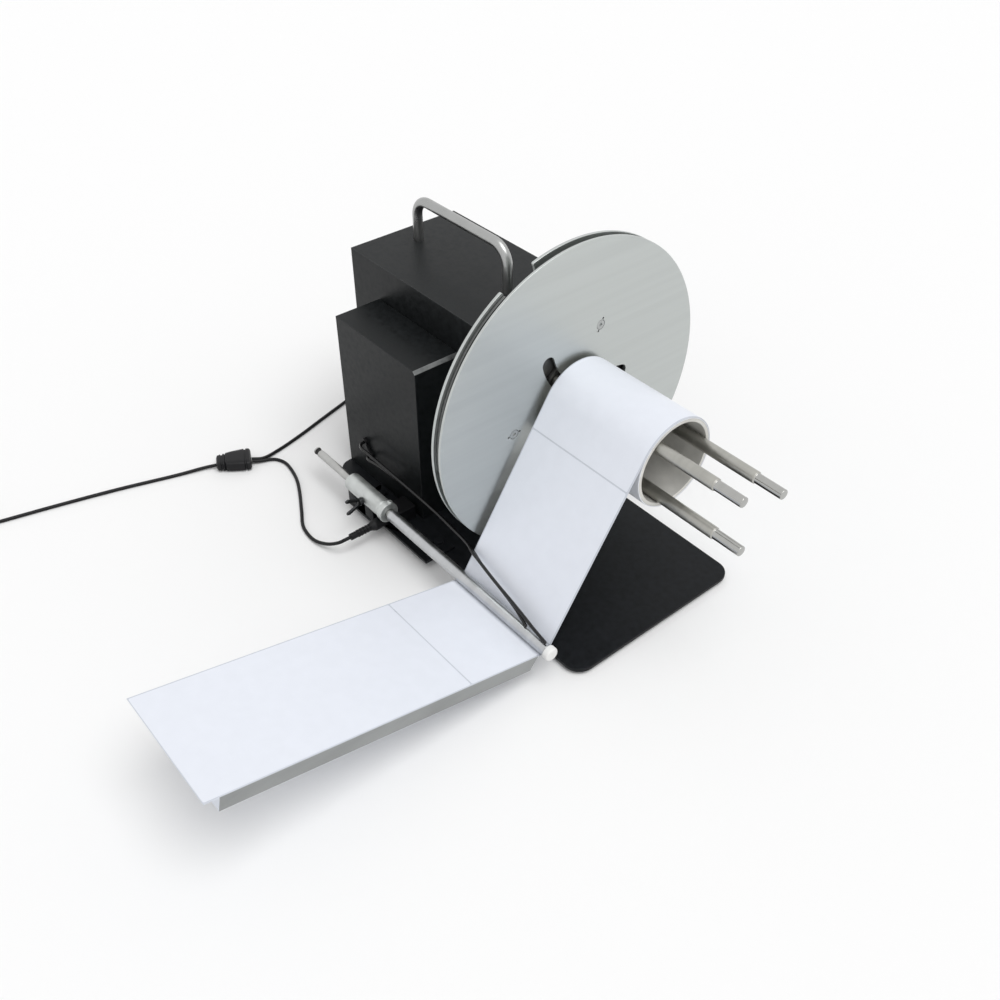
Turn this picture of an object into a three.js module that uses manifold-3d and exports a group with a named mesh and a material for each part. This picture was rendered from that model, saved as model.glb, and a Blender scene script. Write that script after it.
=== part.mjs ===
// Label rewinder: a motor-driven 300 mm disc winds a taut strip of labels onto a 76 mm core,
// which three swinging posts grip from inside. Lengths in millimetres, +X along the spindle
// towards the free ends of the posts, +Y away from the incoming strip, +Z up, table at zero.
import * as THREE from 'three';
import { mergeVertices } from 'three/addons/utils/BufferGeometryUtils.js';
import Module from 'manifold-3d';

const wasm = await Module();
wasm.setup();

// Clearances shared by all pieces
const seatGap = 0.2;
const cutGap = 0.3;
const runGap = 0.4;
const overrun = 2;
const mergeLimit = 0.0001;
const sag = 0.2;
const camSteps = 14;
const stepShare = 0.05;
const neckLean = 3;
const neckDegrees = 30;

// Spindle axis and disc stack, measured from the front face of the front flange at x = 0
const axisHeight = 162;
const disc = { radius: 150, flange: 2.5, arm: 3, adjuster: 2.4, rear: 2.9 };
const armFront = -disc.flange - runGap;
const armRear = armFront - disc.arm;
const adjusterFront = armRear - runGap;
const adjusterRear = adjusterFront - disc.adjuster;
const rearDiscFront = adjusterRear - runGap;
const rearDiscRear = rearDiscFront - disc.rear;
const notch = { fromDegrees: 107, toDegrees: 120.5, depth: 16 };
const grip = { radius: 147, fromDegrees: 120.5, toDegrees: 186, waist: 88 };
const dimple = { radius: 1, depth: 0.8, offset: 6.2 };
const arm = { reach: 62, eyeRadius: 9, tipRadius: 8.5, pinRadius: 3, setOut: 8 };
const pivot = {
  circle: arm.reach + arm.setOut, firstDegrees: 66.5, count: 3, shank: 3, head: 4.6, sink: 1.3,
};
const post = { radius: 5.5, bodyEnd: 182, tipRadius: 4.6, tipEnd: 210, round: 0.9 };
const coreBore = 76.2;
const postCircle = coreBore / 2 - post.radius - cutGap;
const postRange = { inner: 5.2, outer: 12.3 };
const smallestCircle = arm.setOut + postRange.inner;
const largestCircle = pivot.circle - postRange.outer;
const slotWidth = 13.5;
const camRatio = 0.7;
const shaft = { radius: 6, pulleyEnd: -150 };
const hub = { radius: 28, length: 14, collarRadius: 13, collarLength: 12 };

// Roll on the posts and the strip of labels
const strip = { left: 5.1, right: 122.4, thick: 0.4, feedLength: 312, feedRise: 0.2234 };
const stripLip = { depth: 13, inset: 8 };
const core = { wall: 3 };
const rollRadius = 42.1;

// Base plate and feet
const base = { left: -227, right: 146, front: -121, back: 77, thick: 4, corner: 16 };
const baseStep = { left: -271, front: -51, corner: 6 };
const foot = { radius: 9, height: 3, inset: 20 };
const plateTop = foot.height + seatGap + base.thick;

// Housings
const wall = 1.5;
const tall = { left: -271, right: -78, front: -51, back: 77, overAxis: 56, panel: 2 };
const low = { left: -227, right: -99.5, front: -102, overAxis: 18.5, bevel: 3 };
const tallTop = axisHeight + tall.overAxis;
const lowTop = axisHeight + low.overAxis;
const houseBottom = plateTop + seatGap;
const lowBack = tall.front - cutGap;

// Carry handle on the tall housing
const handle = { left: -243, right: -106, y: 11, barRadius: 5, rise: 44, bend: 18 };
const handleFoot = { radius: 7.5, thick: 3 };

// Guide bar, clamp and bracket in front of the base
const guide = { y: -138.8, z: 33.4, rodRadius: 4, rodLeft: -231, rollerRadius: 5.7 };
const roller = { left: -99, right: 126 };
const endCap = { radius: 6.6, length: 6, round: 2.2 };
const sleeve = { left: -167, right: -109, radius: 9.2 };
const collar = { right: -103, radius: 10.4 };
const bracket = { left: -168, right: -46, front: -138.5, back: -104, thick: 3 };
const bracketStep = { right: -118, front: -145 };
const cradle = { left: -167, right: -124, width: 14, halfDepth: 5.5 };
const wing = { x: -135, shankRadius: 2.5, headRadius: 4, headLength: 3.6 };
const wingBlade = { width: 3.4, spread: 9.4, length: 15.6, thick: 2.2 };
const bracketScrew = { inset: 14, radius: 4.5, height: 3 };

// Feeler wires along the web
const wireRadius = 1.5;
const wireSteps = 26;
const bush = { radius: 4.2, length: 3 };
const outerBush = [-193, 50];
const innerBush = [-184, 38];

// Drive inside the tall housing
const drive = { motorY: 10, motorZ: 84, pulleyLeft: -142, pulleyRight: -130 };
const motorPulley = { radius: 12, bore: 3 };
const spindlePulley = { radius: 24 };
const pulleyRim = 1.6;
const belt = { thick: 1.5, inset: 2.5 };
const motor = { radius: 18.5, left: -252, gearRadius: 22, gearLeft: -196 };
const motorPlate = { thick: 3, halfWidth: 28, margin: 8, foot: 24 };
const motorFace = drive.pulleyLeft - motorPlate.thick - cutGap;
const bearing = { outer: 13, width: 8 };
const carrier = { radius: 19, left: -92, right: -34, flangeRadius: 32, flange: 4 };

// Control panel at the left end of the tall housing, and the boards inside
const knob = { y: 20, z: 172, radius: 11, length: 14, mark: 1.2, dimple: 5 };
const pot = { radius: 8.5, length: 11, bushing: 4, stem: 3, stemLength: 9 };
const rocker = { y: -20, z: 172, width: 9.6, height: 13, proud: 2.4, depth: 4, swing: 0.9 };
const rockerFrame = { width: 15, height: 21, thick: 1.8, bodyDepth: 20, rim: 1.4, pocket: 7 };
const jack = { y: 52, z: 38, radius: 5.5, collar: 7.5, collarThick: 2, bore: 3.2, depth: 13 };
const board = { left: -255, right: -160, front: -32, back: 62, thick: 1.6, lift: 8, post: 3 };
const boardParts = { height: 14, width: 16, length: 20 };
const lowBoard = { left: -215, right: -125, thick: 1.6, lift: 8, height: 90, foot: 10 };

// Power cords: the splitter on the table, the plugs and the free lengths
const cordRadius = 1.75;
const cordRest = cordRadius + 0.1;
const plug = { radius: 5, length: 20, neck: 3, neckLength: 15, pin: 2.7, pinLength: 9 };
const frontJack = { left: -124, right: -104, front: -127, back: -107, top: 25, z: 17 };
const frontPlug = { radius: 6, length: 27, neck: 3.8, end: -178 };
const splitter = { length: 36, narrow: 10, wide: 14, height: 12, edge: 2.5 };
const leavingRun = { front: 8, rear: 12, supply: 12, drop: 1 };
const splitterStart = [-311.8, -216];
const splitterHeading = [0.443, 0.896];
const coil = { loops: 4, pitch: 4.6, inner: 11.4, tail: 45, steps: 24 };
const climbTurns = 0.5;
const fallShare = 0.7;
const coilStart = [-382.6, -470.6];
const connector = { radius: 5, length: 30 };

// Colours, roughness and metalness of each finish
const finishes = {
  coat: { color: 0x2d3033, roughness: 0.55, metalness: 0.3 },
  base: { color: 0x1f2225, roughness: 0.5, metalness: 0.3 },
  brushed: { color: 0xb5babb, roughness: 0.35, metalness: 0.9 },
  satin: { color: 0x9a9a90, roughness: 0.4, metalness: 0.9 },
  chrome: { color: 0xc9cccd, roughness: 0.15, metalness: 1 },
  plastic: { color: 0x121314, roughness: 0.45, metalness: 0 },
  white: { color: 0xe6e8e6, roughness: 0.5, metalness: 0 },
  paper: { color: 0xe8ecf6, roughness: 0.8, metalness: 0 },
  card: { color: 0xa7a79f, roughness: 0.85, metalness: 0 },
  rubber: { color: 0x17181a, roughness: 0.9, metalness: 0 },
  board: { color: 0x1d5a3a, roughness: 0.5, metalness: 0.1 },
  brass: { color: 0xb08d4f, roughness: 0.35, metalness: 0.9 },
};

const radians = THREE.MathUtils.degToRad;
const halfTurn = Math.PI;
const fullTurn = 2 * Math.PI;

// Turns a closed three.js geometry into a solid that can be joined and cut
function solid(geometry) {
  const bare = geometry.index ? geometry.toNonIndexed() : geometry.clone();
  for (const name of Object.keys(bare.attributes)) {
    if (name !== 'position') bare.deleteAttribute(name);
  }
  const merged = mergeVertices(bare, mergeLimit);
  const corners = Array.from(merged.index.array);
  const kept = [];
  for (let i = 0; i < corners.length; i += 3) {
    const [a, b, c] = corners.slice(i, i + 3);
    if (a !== b && b !== c && c !== a) kept.push(a, b, c);
  }
  return new wasm.Manifold(new wasm.Mesh({
    numProp: 3,
    vertProperties: merged.attributes.position.array,
    triVerts: Uint32Array.from(kept),
  }));
}

// Joins solids, and cuts solids out of one
const join = (first, ...rest) => rest.reduce((sum, next) => sum.add(next), first);
const cut = (first, ...rest) => rest.reduce((left, next) => left.subtract(next), first);

// Adds a named mesh to a group; a list of solids becomes one numbered mesh each
function piece(parent, name, shape, finish) {
  if (Array.isArray(shape)) {
    shape.forEach((part, k) => piece(parent, `${name}_${k + 1}`, part, finish));
    return;
  }
  const mesh = shape.getMesh();
  const geometry = new THREE.BufferGeometry();
  geometry.setAttribute('position', new THREE.BufferAttribute(Float32Array.from(mesh.vertProperties), 3));
  geometry.setIndex(Array.from(mesh.triVerts));
  geometry.computeVertexNormals();
  const body = new THREE.Mesh(geometry, new THREE.MeshStandardMaterial(finishes[finish]));
  body.name = name;
  parent.add(body);
}

// A block between two corners
function block(x0, x1, y0, y1, z0, z1) {
  const geometry = new THREE.BoxGeometry(x1 - x0, y1 - y0, z1 - z0);
  return solid(geometry.translate((x0 + x1) / 2, (y0 + y1) / 2, (z0 + z1) / 2));
}

// A round rod along X, Y or Z
function rodX(radius, x0, x1, y, z, sides = 20) {
  const geometry = new THREE.CylinderGeometry(radius, radius, x1 - x0, sides);
  return solid(geometry.rotateZ(-halfTurn / 2).translate((x0 + x1) / 2, y, z));
}
function rodY(radius, y0, y1, x, z, sides = 16) {
  const geometry = new THREE.CylinderGeometry(radius, radius, y1 - y0, sides);
  return solid(geometry.translate(x, (y0 + y1) / 2, z));
}
function rodZ(radius, z0, z1, x, y, sides = 16) {
  const geometry = new THREE.CylinderGeometry(radius, radius, z1 - z0, sides);
  return solid(geometry.rotateX(halfTurn / 2).translate(x, y, (z0 + z1) / 2));
}

// A shape turned about an axis along X, from a closed or axis-to-axis profile of [radius, x]
function turned(profile, y, z, sides = 32) {
  const points = profile.map(([radius, x]) => new THREE.Vector2(radius, x));
  const geometry = new THREE.LatheGeometry(points, sides);
  return solid(geometry.rotateZ(-halfTurn / 2).translate(0, y, z));
}
const ringX = (inner, outer, x0, x1, y, z, sides = 24) => turned(
  [[inner, x0], [outer, x0], [outer, x1], [inner, x1], [inner, x0]], y, z, sides);

// Adds an arc to an outline in straight steps that stay within the arc's allowed sag
function arc(path, [u, v], radius, from, to) {
  const steps = Math.max(3, Math.ceil(Math.abs(to - from) / (2 * Math.acos(1 - sag / radius))));
  for (let k = 0; k <= steps; k += 1) {
    const angle = from + (to - from) * k / steps;
    const place = [u + radius * Math.cos(angle), v + radius * Math.sin(angle)];
    if (k === 0 && path.curves.length === 0) path.moveTo(...place);
    else path.lineTo(...place);
  }
}

// A flat outline in the YZ plane, pushed out along X
function plateX(shape, x0, x1, curveSegments = 4) {
  const geometry = new THREE.ExtrudeGeometry(shape,
    { depth: x1 - x0, bevelEnabled: false, curveSegments });
  const turn = new THREE.Matrix4().makeBasis(
    new THREE.Vector3(0, 1, 0), new THREE.Vector3(0, 0, 1), new THREE.Vector3(1, 0, 0));
  return solid(geometry.applyMatrix4(turn).translate(x0, 0, 0));
}

// A flat outline in the XY plane, pushed up along Z
function plateZ(shape, z0, z1) {
  const geometry = new THREE.ExtrudeGeometry(shape, { depth: z1 - z0, bevelEnabled: false });
  return solid(geometry.translate(0, 0, z0));
}

// A round tube along a smooth curve through the given points
function tube(points, radius, sides, steps) {
  const path = new THREE.CatmullRomCurve3(points.map(([x, y, z]) => new THREE.Vector3(x, y, z)),
    false, 'centripetal');
  return sweep(path, radius, sides, steps);
}
function sweep(path, radius, sides, steps) {
  const section = new THREE.Shape();
  for (let i = 0; i < sides; i += 1) {
    const angle = fullTurn * i / sides;
    const place = [radius * Math.cos(angle), radius * Math.sin(angle)];
    if (i === 0) section.moveTo(...place);
    else section.lineTo(...place);
  }
  section.closePath();
  return solid(new THREE.ExtrudeGeometry(section, { steps, bevelEnabled: false, extrudePath: path }));
}

// A point on a circle about the spindle, as [y, z]
const onCircle = (radius, angle) => [radius * Math.cos(angle), radius * Math.sin(angle)];

// Machine group: every piece but the free cords stands in it, centred on the origin below
const whole = new THREE.Group();
const machine = new THREE.Group();
const cords = new THREE.Group();
whole.add(machine, cords);

// Base plate with rounded corners, its hidden step under the tall housing, and rubber feet
function basePlate() {
  const outline = new THREE.Shape();
  const { left, right, front, back, corner } = base;
  outline.moveTo(left + corner, front);
  outline.lineTo(right - corner, front);
  arc(outline, [right - corner, front + corner], corner, -halfTurn / 2, 0);
  outline.lineTo(right, back - corner);
  arc(outline, [right - corner, back - corner], corner, 0, halfTurn / 2);
  outline.lineTo(baseStep.left + baseStep.corner, back);
  arc(outline, [baseStep.left + baseStep.corner, back - baseStep.corner], baseStep.corner,
    halfTurn / 2, halfTurn);
  outline.lineTo(baseStep.left, baseStep.front);
  outline.lineTo(left, baseStep.front);
  outline.lineTo(left, front + corner);
  arc(outline, [left + corner, front + corner], corner, halfTurn, 3 * halfTurn / 2);
  piece(machine, 'base_plate', plateZ(outline, foot.height + seatGap, plateTop), 'base');

  const feet = [
    [left + foot.inset, front + foot.inset], [right - foot.inset, front + foot.inset],
    [right - foot.inset, back - foot.inset], [baseStep.left + foot.inset, back - foot.inset],
  ].map(([x, y]) => rodZ(foot.radius, 0, foot.height, x, y));
  piece(machine, 'base_foot', feet, 'rubber');
}
basePlate();

// Tall housing: a folded hood of three walls, closed by a panel at each end
const hood = { front: tall.front + wall, back: tall.back - wall };
const panelFront = hood.front + cutGap;
const panelBack = hood.back - cutGap;
const panelTop = tallTop - wall - cutGap;
function tallHousing() {
  const outer = block(tall.left, tall.right, tall.front, tall.back, houseBottom, tallTop);
  const inner = block(tall.left - overrun, tall.right + overrun, hood.front, hood.back,
    houseBottom - overrun, tallTop - wall);
  const feet = [handle.left, handle.right].map((x) =>
    rodZ(handle.barRadius + cutGap, tallTop - wall - overrun, tallTop + overrun, x, handle.y));
  piece(machine, 'tall_housing_hood', cut(outer, inner, ...feet), 'coat');

  const front = block(tall.right - tall.panel, tall.right, panelFront, panelBack, houseBottom, panelTop);
  const bore = rodX(carrier.radius + cutGap, tall.right - tall.panel - overrun, tall.right + overrun,
    0, axisHeight, 24);
  piece(machine, 'tall_housing_spindle_panel', cut(front, bore), 'coat');

  const controls = block(tall.left, tall.left + tall.panel, panelFront, panelBack, houseBottom, panelTop);
  const reach = [tall.left - overrun, tall.left + tall.panel + overrun];
  const halfHoleY = rockerFrame.width / 2 - rockerFrame.rim + cutGap;
  const halfHoleZ = rockerFrame.height / 2 - rockerFrame.rim + cutGap;
  const knobHole = rodX(pot.bushing + cutGap, ...reach, knob.y, knob.z);
  const jackHole = rodX(jack.radius + cutGap, ...reach, jack.y, jack.z);
  const rockerHole = block(...reach,
    rocker.y - halfHoleY, rocker.y + halfHoleY, rocker.z - halfHoleZ, rocker.z + halfHoleZ);
  piece(machine, 'tall_housing_control_panel', cut(controls, knobHole, jackHole, rockerHole), 'coat');
}
tallHousing();

// Low housing in front of it: a five-sided cover with a bevel on its right top edge
function lowHousing() {
  const section = new THREE.Shape();
  section.moveTo(low.left, houseBottom);
  section.lineTo(low.right, houseBottom);
  section.lineTo(low.right, lowTop - low.bevel);
  section.lineTo(low.right - low.bevel, lowTop);
  section.lineTo(low.left, lowTop);
  section.closePath();
  const depth = lowBack - low.front;
  const geometry = new THREE.ExtrudeGeometry(section, { depth, bevelEnabled: false });
  const outer = solid(geometry.rotateX(halfTurn / 2).translate(0, lowBack, 0));
  const inner = block(low.left + wall, low.right - wall, low.front + wall, lowBack - wall,
    houseBottom - overrun, lowTop - low.bevel - wall);
  const bores = feelers.map(({ bushAt: [x, z] }) =>
    rodY(wireRadius + runGap, low.front - overrun, low.front + wall + overrun, x, z, 12));
  piece(machine, 'low_housing_cover', cut(outer, inner, ...bores), 'coat');

  const y = (low.front + lowBack) / 2;
  const top = plateTop + seatGap + lowBoard.lift;
  const sheet = block(lowBoard.left, lowBoard.right, y, y + lowBoard.thick, top, top + lowBoard.height);
  const angles = [lowBoard.left, lowBoard.right - lowBoard.foot].map((x) =>
    block(x, x + lowBoard.foot, y + lowBoard.thick / 2, y + lowBoard.foot, plateTop + seatGap,
      top + lowBoard.foot));
  piece(machine, 'feeler_circuit_board', join(sheet, ...angles), 'board');
}

// Two feeler wires leave bushes in the low housing, cross in front of the strip and touch the
// roller with their tips
const tipHeight = guide.z + guide.rollerRadius + wireRadius + cutGap;
const wireStart = low.front + wall;
const bushEnd = low.front - bush.length - 2 * cutGap;
const leaving = ([x, z]) => [[x, wireStart, z], [x, bushEnd, z]];
const feelers = [
  {
    name: 'feeler_wire_outer',
    bushAt: outerBush,
    route: [
      ...leaving(outerBush), [-191.5, -109.5, 50.4], [-186, -113.5, 51.5], [-172, -114.5, 52.5],
      [-130, -115, 52.5], [-60, -116, 52], [-34, -118, 52.3], [-4, -122, 54.5], [9, -126.5, 56.8],
      [27, -129.5, 55.5], [49, -132, 52], [72, -134, 48.8], [89, -135.5, 46], [108, -137.5, 43],
      [124, -138.8, tipHeight],
    ],
  },
  {
    name: 'feeler_wire_inner',
    bushAt: innerBush,
    route: [
      ...leaving(innerBush), [-182.5, -108.5, 38.6], [-177, -111.6, 40.3], [-166, -112, 43],
      [-148, -112, 45.5], [-118, -112, 46.5], [-60, -112.5, 46.5], [-34, -114.5, 47],
      [-4, -119.5, 50], [9, -123.4, 52.6], [24, -127, 51.5], [45, -129.5, 48.6], [65, -132, 46],
      [79, -134, 43.8], [88, -136, 42.3], [99, -138.8, tipHeight],
    ],
  },
];
function feelerWires() {
  for (const { name, route } of feelers) {
    const [start, ...rest] = route.map(([x, y, z]) => new THREE.Vector3(x, y, z));
    const bend = new THREE.CatmullRomCurve3(rest, false, 'centripetal');
    piece(machine, name, loopTube([start, ...bend.getSpacedPoints(wireSteps)], wireRadius, 8), 'plastic');
  }
  const reach = [low.front - seatGap - bush.length, low.front - seatGap];
  const rings = feelers.map(({ bushAt: [x, z] }) => rodY(bush.radius, ...reach, x, z, 20));
  const [[x0, z0], [x1, z1]] = [outerBush, innerBush];
  const apart = Math.hypot(x1 - x0, z1 - z0);
  const web = block(-apart / 2, apart / 2, ...reach, -bush.radius / 2, bush.radius / 2);
  const slant = THREE.MathUtils.radToDeg(Math.atan2(z0 - z1, x1 - x0));
  const bridge = web.rotate([0, slant, 0]).translate([(x0 + x1) / 2, 0, (z0 + z1) / 2]);
  const bores = feelers.map(({ bushAt: [x, z] }) =>
    rodY(wireRadius + runGap, low.front - bush.length - overrun, low.front + overrun, x, z, 12));
  piece(machine, 'feeler_bush_plate', cut(join(...rings, bridge), ...bores), 'plastic');
}
lowHousing();
feelerWires();

// Carry handle: a bent round bar through the hood, with a nut on each leg under the sheet
function carryHandle() {
  const { left, right, y, bend } = handle;
  const height = tallTop + handle.rise;
  const legBottom = tallTop - wall - overrun;
  const path = new THREE.CurvePath();
  const corner = (x0, z0, xc, zc, x1, z1) => new THREE.QuadraticBezierCurve3(
    new THREE.Vector3(x0, y, z0), new THREE.Vector3(xc, y, zc), new THREE.Vector3(x1, y, z1));
  const line = (x0, z0, x1, z1) => new THREE.LineCurve3(new THREE.Vector3(x0, y, z0),
    new THREE.Vector3(x1, y, z1));
  path.add(line(left, legBottom, left, height - bend));
  path.add(corner(left, height - bend, left, height, left + bend, height));
  path.add(line(left + bend, height, right - bend, height));
  path.add(corner(right - bend, height, right, height, right, height - bend));
  path.add(line(right, height - bend, right, legBottom));
  const nuts = [left, right].map((x) => rodZ(handleFoot.radius,
    tallTop - wall - seatGap - handleFoot.thick, tallTop - wall - seatGap, x, y, 6));
  piece(machine, 'carry_handle', join(sweep(path, handle.barRadius, 12, 30), ...nuts), 'brushed');
}
carryHandle();

// Motor, its bracket and the belt that turns the spindle
function driveTrain() {
  const { motorY, motorZ, pulleyLeft, pulleyRight } = drive;
  const can = rodX(motor.radius, motor.left, motor.gearLeft, motorY, motorZ);
  const gear = rodX(motor.gearRadius, motor.gearLeft, motorFace - motorPlate.thick - seatGap, motorY,
    motorZ);
  const shaftEnd = pulleyRight - wall;
  const output = rodX(motorPulley.bore, motor.gearLeft, shaftEnd, motorY, motorZ, 20);
  piece(machine, 'gear_motor', join(can, gear, output), 'satin');

  const plateTopEdge = motorZ + motor.gearRadius + motorPlate.margin;
  const upright = block(motorFace - motorPlate.thick, motorFace, motorY - motorPlate.halfWidth,
    motorY + motorPlate.halfWidth, plateTop + seatGap, plateTopEdge);
  const footPlate = block(motorFace - motorPlate.foot, motorFace, motorY - motorPlate.halfWidth,
    motorY + motorPlate.halfWidth, plateTop + seatGap, plateTop + seatGap + motorPlate.thick);
  const bore = rodX(motorPulley.bore + cutGap, motorFace - motorPlate.thick - overrun,
    motorFace + overrun,
    motorY, motorZ, 20);
  piece(machine, 'motor_bracket', cut(join(upright, footPlate), bore), 'satin');

  const rims = (radius, y, z, holeRadius) => cut(
    join(
      rodX(radius, pulleyLeft, pulleyRight, y, z, 28),
      rodX(radius + pulleyRim, pulleyLeft, pulleyLeft + pulleyRim, y, z, 28),
      rodX(radius + pulleyRim, pulleyRight - pulleyRim, pulleyRight, y, z, 28)),
    rodX(holeRadius + cutGap, pulleyLeft - overrun, pulleyRight + overrun, y, z, 24));
  piece(machine, 'motor_pulley', rims(motorPulley.radius, motorY, motorZ, motorPulley.bore), 'brushed');
  piece(machine, 'spindle_pulley', rims(spindlePulley.radius, 0, axisHeight, shaft.radius), 'brushed');

  const dy = motorY;
  const dz = motorZ - axisHeight;
  const distance = Math.hypot(dy, dz);
  const heading = Math.atan2(dz, dy);
  const lean = Math.acos((spindlePulley.radius - motorPulley.radius) / distance);
  const loop = (extra, Kind) => {
    const outline = new Kind();
    arc(outline, [0, axisHeight], spindlePulley.radius + extra, heading + lean,
      heading - lean + fullTurn);
    arc(outline, [motorY, motorZ], motorPulley.radius + extra, heading - lean, heading + lean);
    outline.closePath();
    return outline;
  };
  const outline = loop(cutGap + belt.thick, THREE.Shape);
  outline.holes.push(loop(cutGap, THREE.Path));
  piece(machine, 'drive_belt', plateX(outline, pulleyLeft + belt.inset, pulleyRight - belt.inset),
    'rubber');
}
driveTrain();

// Bearing carrier through the spindle panel, with its two bearings
function spindleBearings() {
  const tubeBody = rodX(carrier.radius, carrier.left, carrier.right, 0, axisHeight, 24);
  const flange = rodX(carrier.flangeRadius, tall.right + seatGap,
    tall.right + seatGap + carrier.flange, 0, axisHeight, 24);
  const seats = [carrier.left - overrun, carrier.right - bearing.width].map((x) =>
    rodX(bearing.outer + cutGap, x, x + bearing.width + overrun, 0, axisHeight, 24));
  const bore = rodX(bearing.outer - carrier.flange / 2, carrier.left - overrun,
    carrier.right + overrun, 0, axisHeight, 24);
  piece(machine, 'bearing_carrier', cut(join(tubeBody, flange), bore, ...seats), 'coat');
  const inner = shaft.radius + cutGap;
  piece(machine, 'bearing_inner', ringX(inner, bearing.outer, carrier.left + cutGap,
    carrier.left + bearing.width - cutGap, 0, axisHeight), 'chrome');
  piece(machine, 'bearing_outer', ringX(inner, bearing.outer, carrier.right - bearing.width + cutGap,
    carrier.right - cutGap, 0, axisHeight), 'chrome');
}
spindleBearings();

// Controls on the end panel: torque knob, rocker switch and power socket
function controls() {
  const face = tall.left;
  const stemEnd = face - seatGap - pot.stemLength;
  const body = rodX(pot.radius, face + tall.panel + seatGap,
    face + tall.panel + seatGap + pot.length, knob.y, knob.z);
  const bushing = rodX(pot.bushing, face - cutGap, face + tall.panel + overrun, knob.y, knob.z);
  const stem = rodX(pot.stem, stemEnd, face, knob.y, knob.z, 20);
  piece(machine, 'torque_potentiometer', join(body, bushing, stem), 'satin');

  const knobRight = face - runGap - cutGap;
  const skirt = rodX(knob.radius, knobRight - knob.length, knobRight, knob.y, knob.z, 40);
  const stemBore = rodX(pot.stem + cutGap, stemEnd - cutGap, knobRight + overrun, knob.y, knob.z, 20);
  const groove = block(knobRight - knob.length - overrun, knobRight - knob.length + knob.mark,
    knob.y - knob.mark / 2, knob.y + knob.mark / 2, knob.z + knob.dimple, knob.z + knob.radius + overrun);
  piece(machine, 'torque_knob', cut(skirt, stemBore, groove), 'plastic');

  const { rim, thick, width, height, bodyDepth, pocket } = rockerFrame;
  const halfY = width / 2;
  const halfZ = height / 2;
  const bezel = block(face - seatGap - thick, face - seatGap, rocker.y - halfY, rocker.y + halfY,
    rocker.z - halfZ, rocker.z + halfZ);
  const boxBody = block(face - seatGap - thick / 2, face + bodyDepth, rocker.y - halfY + rim,
    rocker.y + halfY - rim,
    rocker.z - halfZ + rim, rocker.z + halfZ - rim);
  const wellY = rocker.width / 2 + runGap;
  const wellZ = rocker.height / 2 + rocker.swing;
  const well = block(face - thick - overrun, face + pocket, rocker.y - wellY, rocker.y + wellY,
    rocker.z - wellZ, rocker.z + wellZ);
  piece(machine, 'switch_body', cut(join(bezel, boxBody), well), 'plastic');
  const outer = face - seatGap - thick;
  piece(machine, 'rocker_button', block(outer - rocker.proud / 2, face + rocker.depth,
    rocker.y - rocker.width / 2, rocker.y + rocker.width / 2,
    rocker.z - rocker.height / 2, rocker.z + rocker.height / 2), 'plastic');

  const collarRight = face - seatGap;
  const jackBody = join(
    rodX(jack.radius, collarRight - jack.collarThick, face + jack.depth, jack.y, jack.z),
    rodX(jack.collar, collarRight - jack.collarThick, collarRight, jack.y, jack.z, 6));
  const socket = rodX(jack.bore, collarRight - jack.collarThick - overrun,
    collarRight - jack.collarThick + plug.pinLength + cutGap, jack.y, jack.z, 24);
  piece(machine, 'power_socket_rear', cut(jackBody, socket), 'satin');
}
controls();

// Circuit board on four posts, with a heat sink and two capacitors
function controlBoard() {
  const bottom = plateTop + seatGap + board.lift;
  const top = bottom + board.thick;
  const sheet = block(board.left, board.right, board.front, board.back, bottom, top);
  const inset = 2 * board.post;
  const posts = [board.left + inset, board.right - inset].flatMap((x) =>
    [board.front + inset, board.back - inset].map((y) =>
      rodZ(board.post, plateTop + seatGap, top, x, y, 12)));
  const sink = block(board.left + inset, board.left + inset + boardParts.length,
    board.back - inset - boardParts.length,
    board.back - 2 * inset, top - board.thick / 2, top + boardParts.height);
  const cans = [1, 2].map((step) => rodZ(boardParts.width / 4, top - board.thick / 2,
    top + boardParts.height,
    board.left + inset + step * boardParts.width, board.front + 2 * inset, 16));
  piece(machine, 'control_board', join(sheet, ...posts, sink, ...cans), 'board');
}
controlBoard();

// Everything on the spindle is drawn about an axis at y = 0, z = 0 and lifted to the axis height
const stack = new THREE.Group();
stack.position.set(0, 0, axisHeight);
machine.add(stack);

const pivotAngles = Array.from({ length: pivot.count }, (_, k) =>
  radians(pivot.firstDegrees) + k * fullTurn / pivot.count);
const armSwing = (circle) =>
  Math.acos((pivot.circle ** 2 + arm.reach ** 2 - circle ** 2) / (2 * pivot.circle * arm.reach));
const restSwing = armSwing(postCircle);
const innerSwing = armSwing(smallestCircle);
const outerSwing = armSwing(largestCircle);
const postAt = (pivotAngle, swing) => {
  const [py, pz] = onCircle(pivot.circle, pivotAngle);
  const heading = pivotAngle + halfTurn - swing;
  return [py + arm.reach * Math.cos(heading), pz + arm.reach * Math.sin(heading)];
};

function circleHole(radius, [y, z] = [0, 0]) {
  const hole = new THREE.Path();
  arc(hole, [y, z], radius, 0, fullTurn);
  return hole;
}

// A slot along an arc about a pivot, with round ends
function arcSlot([cy, cz], radius, width, from, to) {
  const slot = new THREE.Path();
  const end = [cy + radius * Math.cos(to), cz + radius * Math.sin(to)];
  const start = [cy + radius * Math.cos(from), cz + radius * Math.sin(from)];
  arc(slot, [cy, cz], radius + width / 2, from, to);
  arc(slot, end, width / 2, to, to + halfTurn);
  arc(slot, [cy, cz], radius - width / 2, to, from);
  arc(slot, start, width / 2, from + halfTurn, from + fullTurn);
  return slot;
}

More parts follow.
